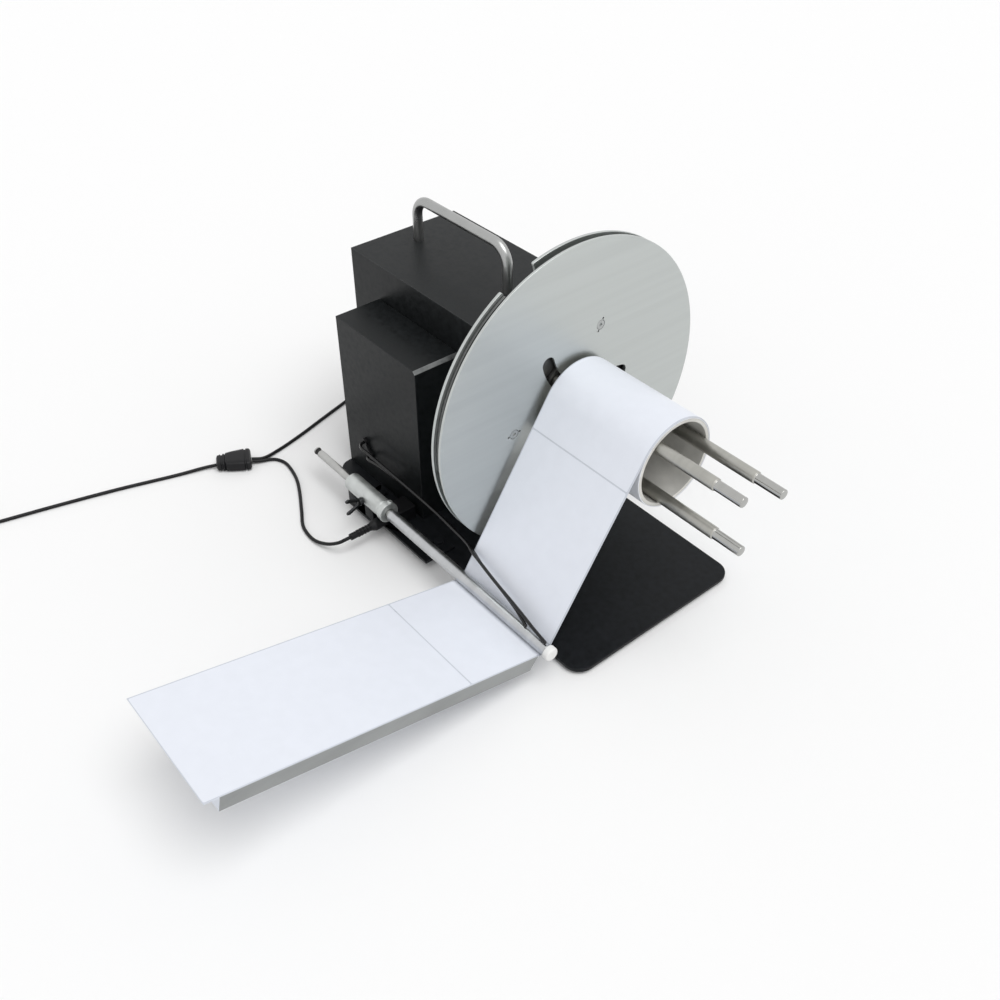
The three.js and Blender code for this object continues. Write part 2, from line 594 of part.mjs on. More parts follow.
// Front flange: three arc slots for the posts, countersunk pivot holes and small dimples
function frontFlange() {
  const outline = new THREE.Shape();
  arc(outline, [0, 0], disc.radius, 0, fullTurn);
  for (const angle of pivotAngles) {
    outline.holes.push(arcSlot(onCircle(pivot.circle, angle), arm.reach, slotWidth,
      angle + halfTurn - outerSwing, angle + halfTurn - innerSwing));
    outline.holes.push(circleHole(pivot.shank + cutGap, onCircle(pivot.circle, angle)));
  }
  const plate = plateX(outline, -disc.flange, 0);
  const cuts = pivotAngles.flatMap((angle) => {
    const [y, z] = onCircle(pivot.circle, angle);
    const sink = turned([[0, -pivot.sink - cutGap],
      [pivot.shank + cutGap, -pivot.sink - cutGap],
      [pivot.head + cutGap, 0], [pivot.head + cutGap, overrun], [0, overrun]], y, z, 20);
    const marks = [-dimple.offset, dimple.offset].map((offset) =>
      rodX(dimple.radius, -dimple.depth, overrun, ...onCircle(pivot.circle + offset, angle), 8));
    return [sink, ...marks];
  });
  piece(stack, 'front_flange', cut(plate, ...cuts), 'brushed');
}

// Rear disc with its finger notch
function rearDisc() {
  const outline = new THREE.Shape();
  const from = radians(notch.fromDegrees);
  const to = radians(notch.toDegrees);
  const lip = notch.depth / 4;
  const floor = disc.radius - notch.depth;
  const lean = lip / floor;
  arc(outline, [0, 0], disc.radius, to, from + fullTurn);
  outline.lineTo(...onCircle(floor + lip, from + lean / 2));
  outline.quadraticCurveTo(...onCircle(floor, from + lean / 2), ...onCircle(floor, from + 2 * lean));
  outline.lineTo(...onCircle(floor, to - 2 * lean));
  outline.quadraticCurveTo(...onCircle(floor, to - lean / 2), ...onCircle(floor + lip, to - lean / 2));
  outline.closePath();
  outline.holes.push(circleHole(shaft.radius + cutGap));
  for (const angle of pivotAngles) {
    outline.holes.push(circleHole(pivot.shank + cutGap, onCircle(pivot.circle, angle)));
  }
  piece(stack, 'rear_disc', plateX(outline, rearDiscRear, rearDiscFront), 'brushed');
}

// Path of an arm's pin seen from the adjuster, which turns by the arm's angle over the ratio
function camPoint(swing) {
  const [y, z] = postAt(0, swing);
  const turn = -(restSwing - swing) / camRatio;
  return new THREE.Vector2(y * Math.cos(turn) - z * Math.sin(turn),
    y * Math.sin(turn) + z * Math.cos(turn));
}
function camSlot(angle) {
  const half = arm.pinRadius + cutGap;
  const at = (step) => camPoint(outerSwing + (innerSwing - outerSwing) * step / camSteps);
  const along = (step) => at(step + stepShare).sub(at(step - stepShare)).normalize();
  const side = (step, turn, reach) => at(step).add(along(step).rotateAround(new THREE.Vector2(),
    turn).multiplyScalar(reach));
  const points = [];
  for (let step = 0; step <= camSteps; step += 1) points.push(side(step, -halfTurn / 2, half));
  for (let k = 1; k < 6; k += 1) points.push(side(camSteps, -halfTurn / 2 + halfTurn * k / 6, half));
  for (let step = camSteps; step >= 0; step -= 1) points.push(side(step, halfTurn / 2, half));
  for (let k = 1; k < 6; k += 1) points.push(side(0, halfTurn / 2 + halfTurn * k / 6, half));
  return new THREE.Path(points.map((point) => point.rotateAround(new THREE.Vector2(), angle)));
}

// Adjuster: a cam plate inside the circle of pivots, with one wide grip sector at the rim
function adjuster() {
  const camEdge = pivot.circle - pivot.shank - runGap - cutGap;
  const neck = radians(notch.toDegrees + neckLean);
  const neckEnd = neck + radians(neckDegrees);
  const from = radians(grip.fromDegrees);
  const to = radians(grip.toDegrees);
  const outline = new THREE.Shape();
  arc(outline, [0, 0], camEdge, neckEnd, neck + fullTurn);
  outline.lineTo(...onCircle(grip.waist, neck));
  outline.lineTo(...onCircle(grip.radius, from));
  arc(outline, [0, 0], grip.radius, from, to);
  outline.lineTo(...onCircle(grip.waist, to));
  outline.lineTo(...onCircle(grip.waist, neckEnd));
  outline.closePath();
  outline.holes.push(circleHole(shaft.radius + cutGap));
  for (const angle of pivotAngles) outline.holes.push(camSlot(angle));
  piece(stack, 'adjuster_plate', plateX(outline, adjusterRear, adjusterFront), 'satin');
}

// Three arms, each with its post pressed through the tip, and the screws that they swing on
function armsAndPosts() {
  pivotAngles.forEach((angle, k) => {
    const eye = onCircle(pivot.circle, angle);
    const tip = postAt(angle, restSwing);
    const heading = Math.atan2(tip[1] - eye[1], tip[0] - eye[0]);
    const lean = Math.asin((arm.eyeRadius - arm.tipRadius) / arm.reach);
    const outline = new THREE.Shape();
    arc(outline, tip, arm.tipRadius, heading - halfTurn / 2 + lean, heading + halfTurn / 2 - lean);
    arc(outline, eye, arm.eyeRadius, heading + halfTurn / 2 - lean,
      heading - halfTurn / 2 + lean + fullTurn);
    outline.closePath();
    outline.holes.push(circleHole(pivot.shank + cutGap, eye));
    outline.holes.push(circleHole(arm.pinRadius + cutGap, tip));
    piece(stack, `swing_arm_${k + 1}`, plateX(outline, armRear, armFront), 'satin');

    const shoulder = armFront + cutGap;
    const profile = [
      [0, adjusterRear], [arm.pinRadius, adjusterRear], [arm.pinRadius, shoulder],
      [post.radius, shoulder], [post.radius, post.bodyEnd],
      [post.tipRadius, post.bodyEnd + post.radius - post.tipRadius],
      [post.tipRadius, post.tipEnd - post.round], [post.tipRadius - post.round, post.tipEnd],
      [0, post.tipEnd],
    ];
    piece(stack, `roll_post_${k + 1}`, turned(profile, ...tip, 24), 'satin');
  });

  const screws = pivotAngles.map((angle) => {
    const profile = [[0, rearDiscRear], [pivot.shank, rearDiscRear], [pivot.shank, -pivot.sink],
      [pivot.head, -cutGap / 2], [0, -cutGap / 2]];
    const [y, z] = onCircle(pivot.circle, angle);
    const socket = rodX(pivot.shank / 2, -pivot.sink, overrun, y, z, 6);
    return cut(turned(profile, y, z, 20), socket);
  });
  piece(stack, 'pivot_screw', screws, 'chrome');
}

// Spindle shaft and the hub that carries the rear disc
function spindle() {
  piece(stack, 'spindle_shaft', rodX(shaft.radius, shaft.pulleyEnd, adjusterFront - cutGap, 0, 0,
    28), 'chrome');
  const face = rearDiscRear - seatGap;
  const flange = rodX(hub.radius, face - hub.length / 2, face, 0, 0, 40);
  const collarBody = rodX(hub.collarRadius, face - hub.length - hub.collarLength / 4, face, 0, 0, 32);
  const bore = rodX(shaft.radius + cutGap, face - 2 * hub.length, face + overrun, 0, 0, 28);
  piece(stack, 'spindle_hub', cut(join(flange, collarBody), bore), 'brushed');
}

// Paper core on the posts, and the labels wound on it
function labelRoll() {
  const outer = coreBore / 2 + core.wall;
  piece(stack, 'roll_core', ringX(coreBore / 2, outer, strip.left, strip.right, 0, 0, 48), 'card');
  piece(stack, 'label_roll', ringX(outer + cutGap / 3, rollRadius, strip.left, strip.right, 0, 0,
    48), 'paper');
}
frontFlange();
rearDisc();
adjuster();
armsAndPosts();
spindle();
labelRoll();

// Bracket on the base plate, with two cradles under the clamp sleeve and two screw heads
function guideBracket() {
  const bottom = plateTop + seatGap;
  const top = bottom + bracket.thick;
  const tongue = block(bracket.left, bracket.right, bracket.front, bracket.back, bottom, top);
  const step = block(bracket.left, bracketStep.right, bracketStep.front, bracket.front + overrun,
    bottom, top);
  const saddles = [cradle.left, cradle.right - cradle.width].map((x) => block(x, x + cradle.width,
    guide.y - cradle.halfDepth, guide.y + cradle.halfDepth, top - seatGap, guide.z - sleeve.radius / 2));
  const seat = rodX(sleeve.radius + cutGap, cradle.left - overrun, cradle.right + overrun, guide.y,
    guide.z);
  const screwY = (bracket.back + base.front) / 2;
  const screws = [bracket.left + bracketScrew.inset, bracket.right - bracketScrew.inset].map((x) =>
    rodZ(bracketScrew.radius, top - seatGap, top + bracketScrew.height, x, screwY, 16));
  piece(machine, 'guide_bracket', cut(join(tongue, step, ...saddles, ...screws), seat), 'base');
}

// Clamp sleeve with its collar on the guide rod, and the wing screw that locks the rod
function guideClamp() {
  const bore = guide.rodRadius + cutGap;
  const body = join(ringX(bore, sleeve.radius, sleeve.left, collar.right, guide.y, guide.z),
    ringX(bore, collar.radius, sleeve.right, collar.right, guide.y, guide.z));
  const wingRod = (radius, from, to) => rodY(radius, guide.y - to, guide.y - from, wing.x, guide.z, 20);
  const thread = wingRod(wing.shankRadius + cutGap, 0, sleeve.radius + overrun);
  piece(machine, 'guide_clamp_sleeve', cut(body, thread), 'brushed');

  const headStart = sleeve.radius + runGap;
  const headEnd = headStart + wing.headLength;
  const shank = wingRod(wing.shankRadius, bore, headStart + overrun);
  const head = wingRod(wing.headRadius, headStart, headEnd);
  const { width, spread, length, thick } = wingBlade;
  const blades = [-1, 1].map((side) => {
    const outline = new THREE.Shape();
    outline.moveTo(0, -headStart - width / 3);
    outline.lineTo(side * width, -headStart - width / 3);
    outline.lineTo(side * spread, -headEnd - length + width);
    outline.lineTo(side * (spread - width / 3), -headEnd - length);
    outline.lineTo(side * (spread - width), -headEnd - length + width / 3);
    outline.lineTo(0, -headEnd - width / 3);
    outline.closePath();
    const geometry = new THREE.ExtrudeGeometry(outline, { depth: thick, bevelEnabled: false });
    geometry.translate(0, 0, -thick / 2).rotateY(-halfTurn / 2);
    geometry.translate(wing.x, guide.y, guide.z);
    return solid(geometry);
  });
  piece(machine, 'wing_screw', join(shank, head, ...blades), 'chrome');
}
guideBracket();
guideClamp();

// Guide rod with a threaded hole in its left end, the roller that spins on it and the end cap
function guideBar() {
  const rod = rodX(guide.rodRadius, guide.rodLeft, roller.right + cutGap, guide.y, guide.z, 28);
  const hole = rodX(guide.rodRadius / 2, guide.rodLeft - overrun,
    guide.rodLeft + 2 * guide.rodRadius, guide.y, guide.z, 16);
  piece(machine, 'guide_rod', cut(rod, hole), 'satin');
  piece(machine, 'guide_roller', ringX(guide.rodRadius + cutGap, guide.rollerRadius, roller.left,
    roller.right,
    guide.y, guide.z, 32), 'brushed');
  const start = roller.right + 2 * cutGap;
  const end = start + endCap.length;
  const profile = [
    [0, start], [endCap.radius, start], [endCap.radius, end - endCap.round],
    [endCap.radius - endCap.round / 3, end - endCap.round / 3],
    [endCap.radius - endCap.round, end], [0, end],
  ];
  piece(machine, 'roller_end_cap', turned(profile, guide.y, guide.z), 'white');
}
guideBar();

// Strip of labels: in along a gentle rise, under the roller and up to the roll. The near edge of
// the incoming run is turned down
function labelStrip() {
  const inner = guide.rollerRadius + cutGap;
  const outer = inner + strip.thick;
  const dy = -guide.y;
  const dz = axisHeight - guide.z;
  const distance = Math.hypot(dy, dz);
  const rollMid = rollRadius + cutGap + strip.thick / 2;
  const rollerMid = (inner + outer) / 2;
  const climb = Math.atan2(dz, dy) + Math.asin((rollMid + rollerMid) / distance);
  const runLength = Math.sqrt(distance ** 2 - (rollMid + rollerMid) ** 2);
  const climbNormal = climb - halfTurn / 2;
  const feedNormal = -halfTurn / 2 - strip.feedRise;
  const around = (radius, angle) => [guide.y + radius * Math.cos(angle),
    guide.z + radius * Math.sin(angle)];
  const outline = new THREE.Shape();
  const climbHeading = [Math.cos(climb), Math.sin(climb)];
  const feedHeading = [-Math.cos(strip.feedRise), Math.sin(strip.feedRise)];
  const along = ([y, z], [hy, hz], length) => [y + hy * length, z + hz * length];
  outline.moveTo(...along(around(outer, feedNormal), feedHeading, strip.feedLength));
  arc(outline, [guide.y, guide.z], outer, feedNormal, climbNormal);
  outline.lineTo(...along(around(outer, climbNormal), climbHeading, runLength));
  outline.lineTo(...along(around(inner, climbNormal), climbHeading, runLength));
  arc(outline, [guide.y, guide.z], inner, climbNormal, feedNormal);
  outline.lineTo(...along(around(inner, feedNormal), feedHeading, strip.feedLength));
  outline.closePath();
  const lip = new THREE.Shape();
  lip.moveTo(...along(around(inner, feedNormal), feedHeading, stripLip.inset));
  lip.lineTo(...along(around(outer + stripLip.depth, feedNormal), feedHeading, stripLip.inset));
  lip.lineTo(...along(around(outer + stripLip.depth, feedNormal), feedHeading,
    strip.feedLength - stripLip.inset));
  lip.lineTo(...along(around(inner, feedNormal), feedHeading, strip.feedLength - stripLip.inset));
  lip.closePath();
  piece(machine, 'label_strip', join(plateX(outline, strip.left, strip.right),
    plateX(lip, strip.right - strip.thick, strip.right)), 'paper');
}
labelStrip();

// Front power socket on the bracket, and its plug
const frontMiddle = (frontJack.left + frontJack.right) / 2;
function frontPower() {
  const bottom = plateTop + seatGap + bracket.thick + seatGap;
  const body = block(frontJack.left, frontJack.right, frontJack.front, frontJack.back, bottom,
    frontJack.top);
  const socket = rodY(jack.bore, frontJack.front - overrun,
    frontJack.front + plug.pinLength + cutGap, frontMiddle, frontJack.z);
  piece(machine, 'power_socket_front', cut(body, socket), 'plastic');

  const grip = rodY(frontPlug.radius, frontJack.front - cutGap - frontPlug.length,
    frontJack.front - cutGap, frontMiddle, frontJack.z, 24);
  const neck = rodY(frontPlug.neck, frontPlug.end, frontJack.front - frontPlug.length, frontMiddle,
    frontJack.z);
  const pin = rodY(plug.pin, frontJack.front - overrun, frontJack.front + plug.pinLength,
    frontMiddle, frontJack.z);
  piece(cords, 'power_plug_front', join(grip, neck, pin), 'plastic');
}
frontPower();

// Rear plug in the socket on the control panel
const rearPlug = { grip: tall.left - 2 * seatGap - jack.collarThick - seatGap };
rearPlug.end = rearPlug.grip - plug.length - plug.neckLength;
function rearPower() {
  const grip = rodX(plug.radius, rearPlug.grip - plug.length, rearPlug.grip, jack.y, jack.z, 24);
  const neck = rodX(plug.neck, rearPlug.end, rearPlug.grip - overrun, jack.y, jack.z, 24);
  const pin = rodX(plug.pin, rearPlug.grip - overrun, rearPlug.grip + plug.pinLength, jack.y, jack.z, 24);
  piece(cords, 'power_plug_rear', join(grip, neck, pin), 'plastic');
}
rearPower();

// Moulded splitter on the table: one cord in at the narrow end, two side by side out of the wide end
function cordSplitter() {
  const { length, narrow, wide, height, edge } = splitter;
  const outline = new THREE.Shape();
  outline.moveTo(0, -narrow);
  outline.lineTo(length - edge, -wide);
  outline.lineTo(length, -wide + edge);
  outline.lineTo(length, wide - edge);
  outline.lineTo(length - edge, wide);
  outline.lineTo(0, narrow);
  outline.closePath();
  const geometry = new THREE.ExtrudeGeometry(outline, { depth: height, bevelEnabled: false });
  geometry.rotateZ(Math.atan2(splitterHeading[1], splitterHeading[0])).translate(...splitterStart,
    cutGap);
  piece(cords, 'cord_splitter', solid(geometry), 'plastic');
}
cordSplitter();

// Places beside the splitter's ends, measured along its heading and to its left
function besideSplitter(along, left, z) {
  const [hx, hy] = splitterHeading;
  return [splitterStart[0] + hx * along - hy * left, splitterStart[1] + hy * along + hx * left, z];
}
const exitGap = cutGap;
const exitSide = cordRadius + cutGap;
const exitHeight = splitter.height / 3;
const splitterEnd = splitter.length + exitGap;

// Cord from the splitter to the front plug
const frontRoute = [
  besideSplitter(splitterEnd, -exitSide, exitHeight),
  besideSplitter(splitterEnd + leavingRun.front, -exitSide, exitHeight - leavingRun.drop),
  [-284, -163, cordRest], [-273, -157.5, cordRest], [-259, -158, cordRest], [-240, -162.5, cordRest],
  [-222, -170.2, cordRest], [-193, -185.5, cordRest], [-170.8, -197, cordRest], [-147.5, -199.6, 2.8],
  [-130, -195, 7], [-118.5, -188.5, 13], [-114.6, -183, 16.5],
  [frontMiddle, frontPlug.end - exitGap, frontJack.z],
];
piece(cords, 'cord_to_front', tube(frontRoute, cordRadius, 8, 24), 'plastic');

// Cord from the splitter to the rear plug, hidden behind the housings at its far end
const rearRoute = [
  besideSplitter(splitterEnd, exitSide, exitHeight),
  besideSplitter(splitterEnd + leavingRun.rear, exitSide, exitHeight - leavingRun.drop),
  [-295.5, -150, cordRest], [-303, -119, cordRest], [-312.6, -87, cordRest], [-324, -48.5, cordRest],
  [-334, -15, cordRest], [-341, 12, 3], [-343, 32, 10], [-337, 47, 22], [-324, 51.5, 33],
  [-312.6, jack.y, jack.z], [rearPlug.end - exitGap, jack.y, jack.z],
];
piece(cords, 'cord_to_rear', tube(rearRoute, cordRadius, 8, 26), 'plastic');

// Supply cord from the splitter's narrow end to the coil
const supplyRoute = [
  besideSplitter(-exitGap, 0, exitHeight),
  besideSplitter(-leavingRun.supply, 0, exitHeight - leavingRun.drop),
  [-325.8, -255, cordRest], [-343, -311, cordRest], [-358.3, -369, cordRest], [-371, -422, cordRest],
  [-382.1, -468.4, cordRest], [...coilStart, cordRest],
];
piece(cords, 'cord_supply', tube(supplyRoute, cordRadius, 8, 14), 'plastic');

// Coil of the unseen length: loops wind in on the table and out again on top, as one tube
const coilTurns = 2 * (coil.loops + climbTurns);
const coilOuter = coil.inner + coil.loops * coil.pitch;
const coilClimb = coil.pitch;
const startAngle = Math.atan2(-0.226, 0.974);
class CoilPath extends THREE.Curve {
  getPoint(share) {
    const turns = share * (coilTurns + tailTurns);
    const wound = Math.min(turns, coilTurns);
    const inward = Math.min(wound, coil.loops);
    const climb = THREE.MathUtils.clamp((wound - coil.loops) / climbTurns, 0, 1);
    const outward = Math.max(wound - coil.loops - climbTurns, 0);
    const radius = coilOuter - coil.pitch * inward + coil.pitch * outward;
    const angle = startAngle - fullTurn * wound;
    const past = (turns - coilTurns) / tailTurns;
    const smooth = climb * climb * (3 - 2 * climb);
    const point = new THREE.Vector3(coilCentre[0] + radius * Math.cos(angle),
      coilCentre[1] + radius * Math.sin(angle), cordRest + coilClimb * smooth);
    if (past > 0) {
      const fall = Math.min(past / fallShare, 1);
      point.z = cordRest + coilClimb * (1 - fall * fall * (3 - 2 * fall));
      point.x += coil.tail * past * Math.sin(angle);
      point.y -= coil.tail * past * Math.cos(angle);
    }
    return point;
  }
}
const tailTurns = coil.tail / (fullTurn * coilOuter);
const coilCentre = [coilStart[0] - coilOuter * Math.cos(startAngle),
  coilStart[1] - coilOuter * Math.sin(startAngle)];
function coilAndConnector() {
  const path = new CoilPath();
  const steps = Math.round(coil.steps * (coilTurns + tailTurns));
  const spaced = Array.from({ length: steps + 1 }, (_, k) => path.getPoint(k / steps));
  const offset = new THREE.Vector3(Math.sin(startAngle), -Math.cos(startAngle),
    0).multiplyScalar(exitGap);
  const points = spaced.map((point) => point.add(offset));
  printLeastGap(points);
  piece(cords, 'cord_coil', loopTube(points, cordRadius, 6), 'plastic');
  const end = points[points.length - 1];
  const heading = new THREE.Vector3(Math.sin(startAngle), -Math.cos(startAngle), 0);
  const geometry = new THREE.CylinderGeometry(connector.radius, connector.radius, connector.length, 20);
  const hole = new THREE.CylinderGeometry(connector.radius / 2, connector.radius / 2,
    connector.length / 2, 12);
  hole.translate(0, connector.length / 2, 0);
  const turn = new THREE.Quaternion().setFromUnitVectors(new THREE.Vector3(0, 1, 0), heading);
  const place = end.clone().addScaledVector(heading, connector.length / 2 + exitGap);
  place.z = connector.radius + cutGap;
  const bodies = [geometry, hole].map((shape) => solid(shape.applyQuaternion(turn).translate(place.x,
    place.y, place.z)));
  piece(cords, 'supply_connector', cut(...bodies), 'plastic');
}

// A tube of straight steps through given points, as one closed geometry with flat ends
function loopTube(points, radius, sides) {
  const positions = [];
  const index = [];
  const up = new THREE.Vector3(0, 0, 1);
  points.forEach((point, i) => {
    const before = points[Math.max(i - 1, 0)];
    const after = points[Math.min(i + 1, points.length - 1)];
    const along = after.clone().sub(before).normalize();
    const side = new THREE.Vector3().crossVectors(up, along).normalize();
    const over = new THREE.Vector3().crossVectors(along, side);
    for (let k = 0; k < sides; k += 1) {
      const angle = fullTurn * (k + 0.5) / sides;
      const corner = point.clone().addScaledVector(side,
        radius * Math.cos(angle)).addScaledVector(over, radius * Math.sin(angle));
      positions.push(corner.x, corner.y, corner.z);
    }
    if (i === 0) return;
    for (let k = 0; k < sides; k += 1) {
      const a = (i - 1) * sides + k;
      const b = (i - 1) * sides + (k + 1) % sides;
      index.push(a, b, a + sides, b, b + sides, a + sides);
    }
  });
  const last = (points.length - 1) * sides;
  for (let k = 1; k < sides - 1; k += 1) {
    index.push(0, k + 1, k);
    index.push(last, last + k, last + k + 1);
  }
  const geometry = new THREE.BufferGeometry();
  geometry.setAttribute('position', new THREE.Float32BufferAttribute(positions, 3));
  geometry.setIndex(index);
  return solid(geometry);
}

// Least gap between the coil's turns, measured on its points
function printLeastGap(points) {
  let least = Infinity;
  const apart = Math.round(coil.steps / 2);
  points.forEach((point, i) => {
    for (let j = i + apart; j < points.length; j += 1) least = Math.min(least,
      point.distanceTo(points[j]));
  });
  console.log(`least gap in the coil: ${(least - 2 * cordRadius).toFixed(2)} mm`);
}
coilAndConnector();

// The origin lies below the middle of the machine, on the table
const extent = new THREE.Box3().setFromObject(machine);
const middle = extent.getCenter(new THREE.Vector3());
whole.children.forEach((group) => group.position.set(-middle.x, -middle.y, 0));
console.log(`shift to the origin: ${(-middle.x).toFixed(4)} ${(-middle.y).toFixed(4)} mm`);

export default whole;
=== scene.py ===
import math
import bmesh
import bpy
import numpy as np
from mathutils import Matrix, Vector
from mathutils.geometry import delaunay_2d_cdt


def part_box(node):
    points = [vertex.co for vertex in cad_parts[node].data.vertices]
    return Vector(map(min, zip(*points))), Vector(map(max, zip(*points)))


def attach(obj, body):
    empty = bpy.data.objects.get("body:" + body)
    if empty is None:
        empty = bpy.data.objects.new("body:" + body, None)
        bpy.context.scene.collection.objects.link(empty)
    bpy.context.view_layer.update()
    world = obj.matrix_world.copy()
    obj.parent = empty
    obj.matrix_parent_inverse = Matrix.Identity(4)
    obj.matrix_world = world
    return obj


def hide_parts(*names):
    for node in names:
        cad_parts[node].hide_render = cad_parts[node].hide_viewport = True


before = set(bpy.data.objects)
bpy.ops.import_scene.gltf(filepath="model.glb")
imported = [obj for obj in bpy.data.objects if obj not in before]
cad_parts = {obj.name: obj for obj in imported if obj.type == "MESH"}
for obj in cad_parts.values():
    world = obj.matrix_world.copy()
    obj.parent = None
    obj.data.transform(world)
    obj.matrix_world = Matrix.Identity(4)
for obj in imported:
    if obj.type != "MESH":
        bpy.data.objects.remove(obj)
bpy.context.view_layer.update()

mm = 0.001

# The spindle axis, from which the machine is drawn: x = 0 is the front face of the front flange,
# y = 0 the axis, and heights are above the table.
flange_low, flange_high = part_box("front_flange")
face_x = flange_high.x
axis_y = (flange_low.y + flange_high.y) / 2
axis_z = (flange_low.z + flange_high.z) / 2
axis_height = axis_z / mm


def place(points):
    """Points drawn from the spindle, in millimetres, as metres in the part's frame."""
    return np.asarray(points, float) * mm + np.array([face_x, axis_y, 0.0])


# Camera, table and light. The camera stands where the photograph was taken from, looking down on
# the free ends of the posts from the strip's side; the table and background are plain white.
camera_place = (571.9, -560.9, 720.4)
camera_turn, camera_drop = math.radians(50.28), math.radians(40.36)
camera_lens, camera_sensor = 39.13, 36.0
camera_near, camera_far = 0.01, 50.0


def stood(name, data):
    """An object for some data, linked into the scene."""
    made = bpy.data.objects.new(name, data)
    bpy.context.scene.collection.objects.link(made)
    return made


camera = stood("camera", bpy.data.cameras.new("camera"))
camera.data.lens = camera_lens
camera.data.sensor_width = camera_sensor
camera.data.clip_start = camera_near
camera.data.clip_end = camera_far
camera.location = place(camera_place)
sight = Vector((-math.sin(camera_turn) * math.cos(camera_drop),
                math.cos(camera_turn) * math.cos(camera_drop), -math.sin(camera_drop)))
camera.rotation_mode = "QUATERNION"
camera.rotation_quaternion = sight.to_track_quat("-Z", "Y")
bpy.context.scene.camera = camera
bpy.context.scene.view_settings.view_transform = "Standard"


def lamp(name, comes_from, power, spread):
    """A distant soft light: the way it comes from, its power and how many degrees it spreads."""
    light = bpy.data.lights.new(name, "SUN")
    light.energy = power
    light.angle = math.radians(spread)
    lit = stood(name, light)
    lit.rotation_mode = "QUATERNION"
    lit.rotation_quaternion = (-Vector(comes_from)).to_track_quat("-Z", "Y")


lamp("key_light", (0.4, 0.05, 1.0), 1.45, 45)
lamp("side_light", (0.8, -0.8, 0.6), 0.08, 60)


def feed(tree, made, inputs):
    """Each named or numbered input of a node takes its value, or a link from another's output."""
    for key, value in inputs.items():
        if isinstance(value, bpy.types.NodeSocket):
            tree.links.new(value, made.inputs[key])
        else:
            made.inputs[key].default_value = value
    return made


def add_node(tree, kind, inputs=None, **settings):
    """A shader node of a kind, with its settings and then its inputs."""
    made = tree.nodes.new(f"ShaderNode{kind}")
    for key, value in settings.items():
        setattr(made, key, value)
    return feed(tree, made, inputs or {})


# The world fills the object with soft light, and the camera, mirrors and glass see plain white.
white = (1, 1, 1, 1)
fill_strength, seen_strength = 0.62, 1.0
world = bpy.data.worlds.new("studio")
bpy.context.scene.world = world
world.use_nodes = True
sky = world.node_tree
sky.nodes.clear()
rays = add_node(sky, "LightPath").outputs
direct = add_node(sky, "Math", {0: rays["Is Camera Ray"], 1: rays["Is Glossy Ray"]},
                  operation="MAXIMUM")
seen = add_node(sky, "Math", {0: direct.outputs[0], 1: rays["Is Transmission Ray"]},
                operation="MAXIMUM")
sky_fill = add_node(sky, "Background", {"Color": white, "Strength": fill_strength})
sky_seen = add_node(sky, "Background", {"Color": white, "Strength": seen_strength})
sky_mix = add_node(sky, "MixShader", {"Fac": seen.outputs[0], 1: sky_fill.outputs[0],
                                      2: sky_seen.outputs[0]})
add_node(sky, "OutputWorld", {"Surface": sky_mix.outputs[0]})

table_size, table_grey, table_roughness = 6.0, 0.93, 0.9
table_corners = [(-table_size, -table_size, 0), (table_size, -table_size, 0),
                 (table_size, table_size, 0), (-table_size, table_size, 0)]
table_mesh = bpy.data.meshes.new("table")
table_mesh.from_pydata(table_corners, [], [(0, 1, 2, 3)])
table_paint = bpy.data.materials.new("table_white")
table_paint.use_nodes = True
feed(table_paint.node_tree, table_paint.node_tree.nodes["Principled BSDF"],
     {"Base Color": (table_grey, table_grey, table_grey, 1), "Roughness": table_roughness})
table_mesh.materials.append(table_paint)
stood("table", table_mesh)


# Power cords: thin black flex. One leaves the splitter for the plug in the end panel, one for the
# plug under the guide bar, and the supply cord runs from the splitter's narrow end to a coil of
# the unseen length, which ends in a connector. They follow the points that the solids follow.
def effect(name, taken, given):
    """An empty node group: its inputs by name and kind, its outputs by name, all plain values. It
    comes with the sockets that its inputs arrive at."""
    tree = bpy.data.node_groups.new(name, "ShaderNodeTree")
    for label, kind in taken.items():
        tree.interface.new_socket(label, in_out="INPUT", socket_type=f"NodeSocket{kind}")
    for label in given:
        tree.interface.new_socket(label, in_out="OUTPUT", socket_type="NodeSocketFloat")
    return tree, tree.nodes.new("NodeGroupInput").outputs


def grain_group():
    """Coarse tone and fine height from noise in a stretched object space, which draws the grain
    out into brush lines. The powder coat, metals, plastics and papers all use it."""
    tree, given = effect("drawn_grain", {"Vector": "Vector", "Stretch": "Vector", "Scale": "Float"},
                         ["Tone", "Height"])
    drawn = add_node(tree, "VectorMath", {0: given["Vector"], 1: given["Stretch"]},
                     operation="MULTIPLY").outputs[0]
    share = add_node(tree, "Math", {0: given["Scale"], 1: 0.12}, operation="MULTIPLY").outputs[0]
    fine = add_node(tree, "TexNoise", {"Vector": drawn, "Scale": given["Scale"], "Detail": 3})
    coarse = add_node(tree, "TexNoise", {"Vector": drawn, "Scale": share, "Detail": 4})
    feed(tree, tree.nodes.new("NodeGroupOutput"),
         {"Tone": coarse.outputs["Fac"], "Height": fine.outputs["Fac"]})
    return tree


drawn_grain = grain_group()


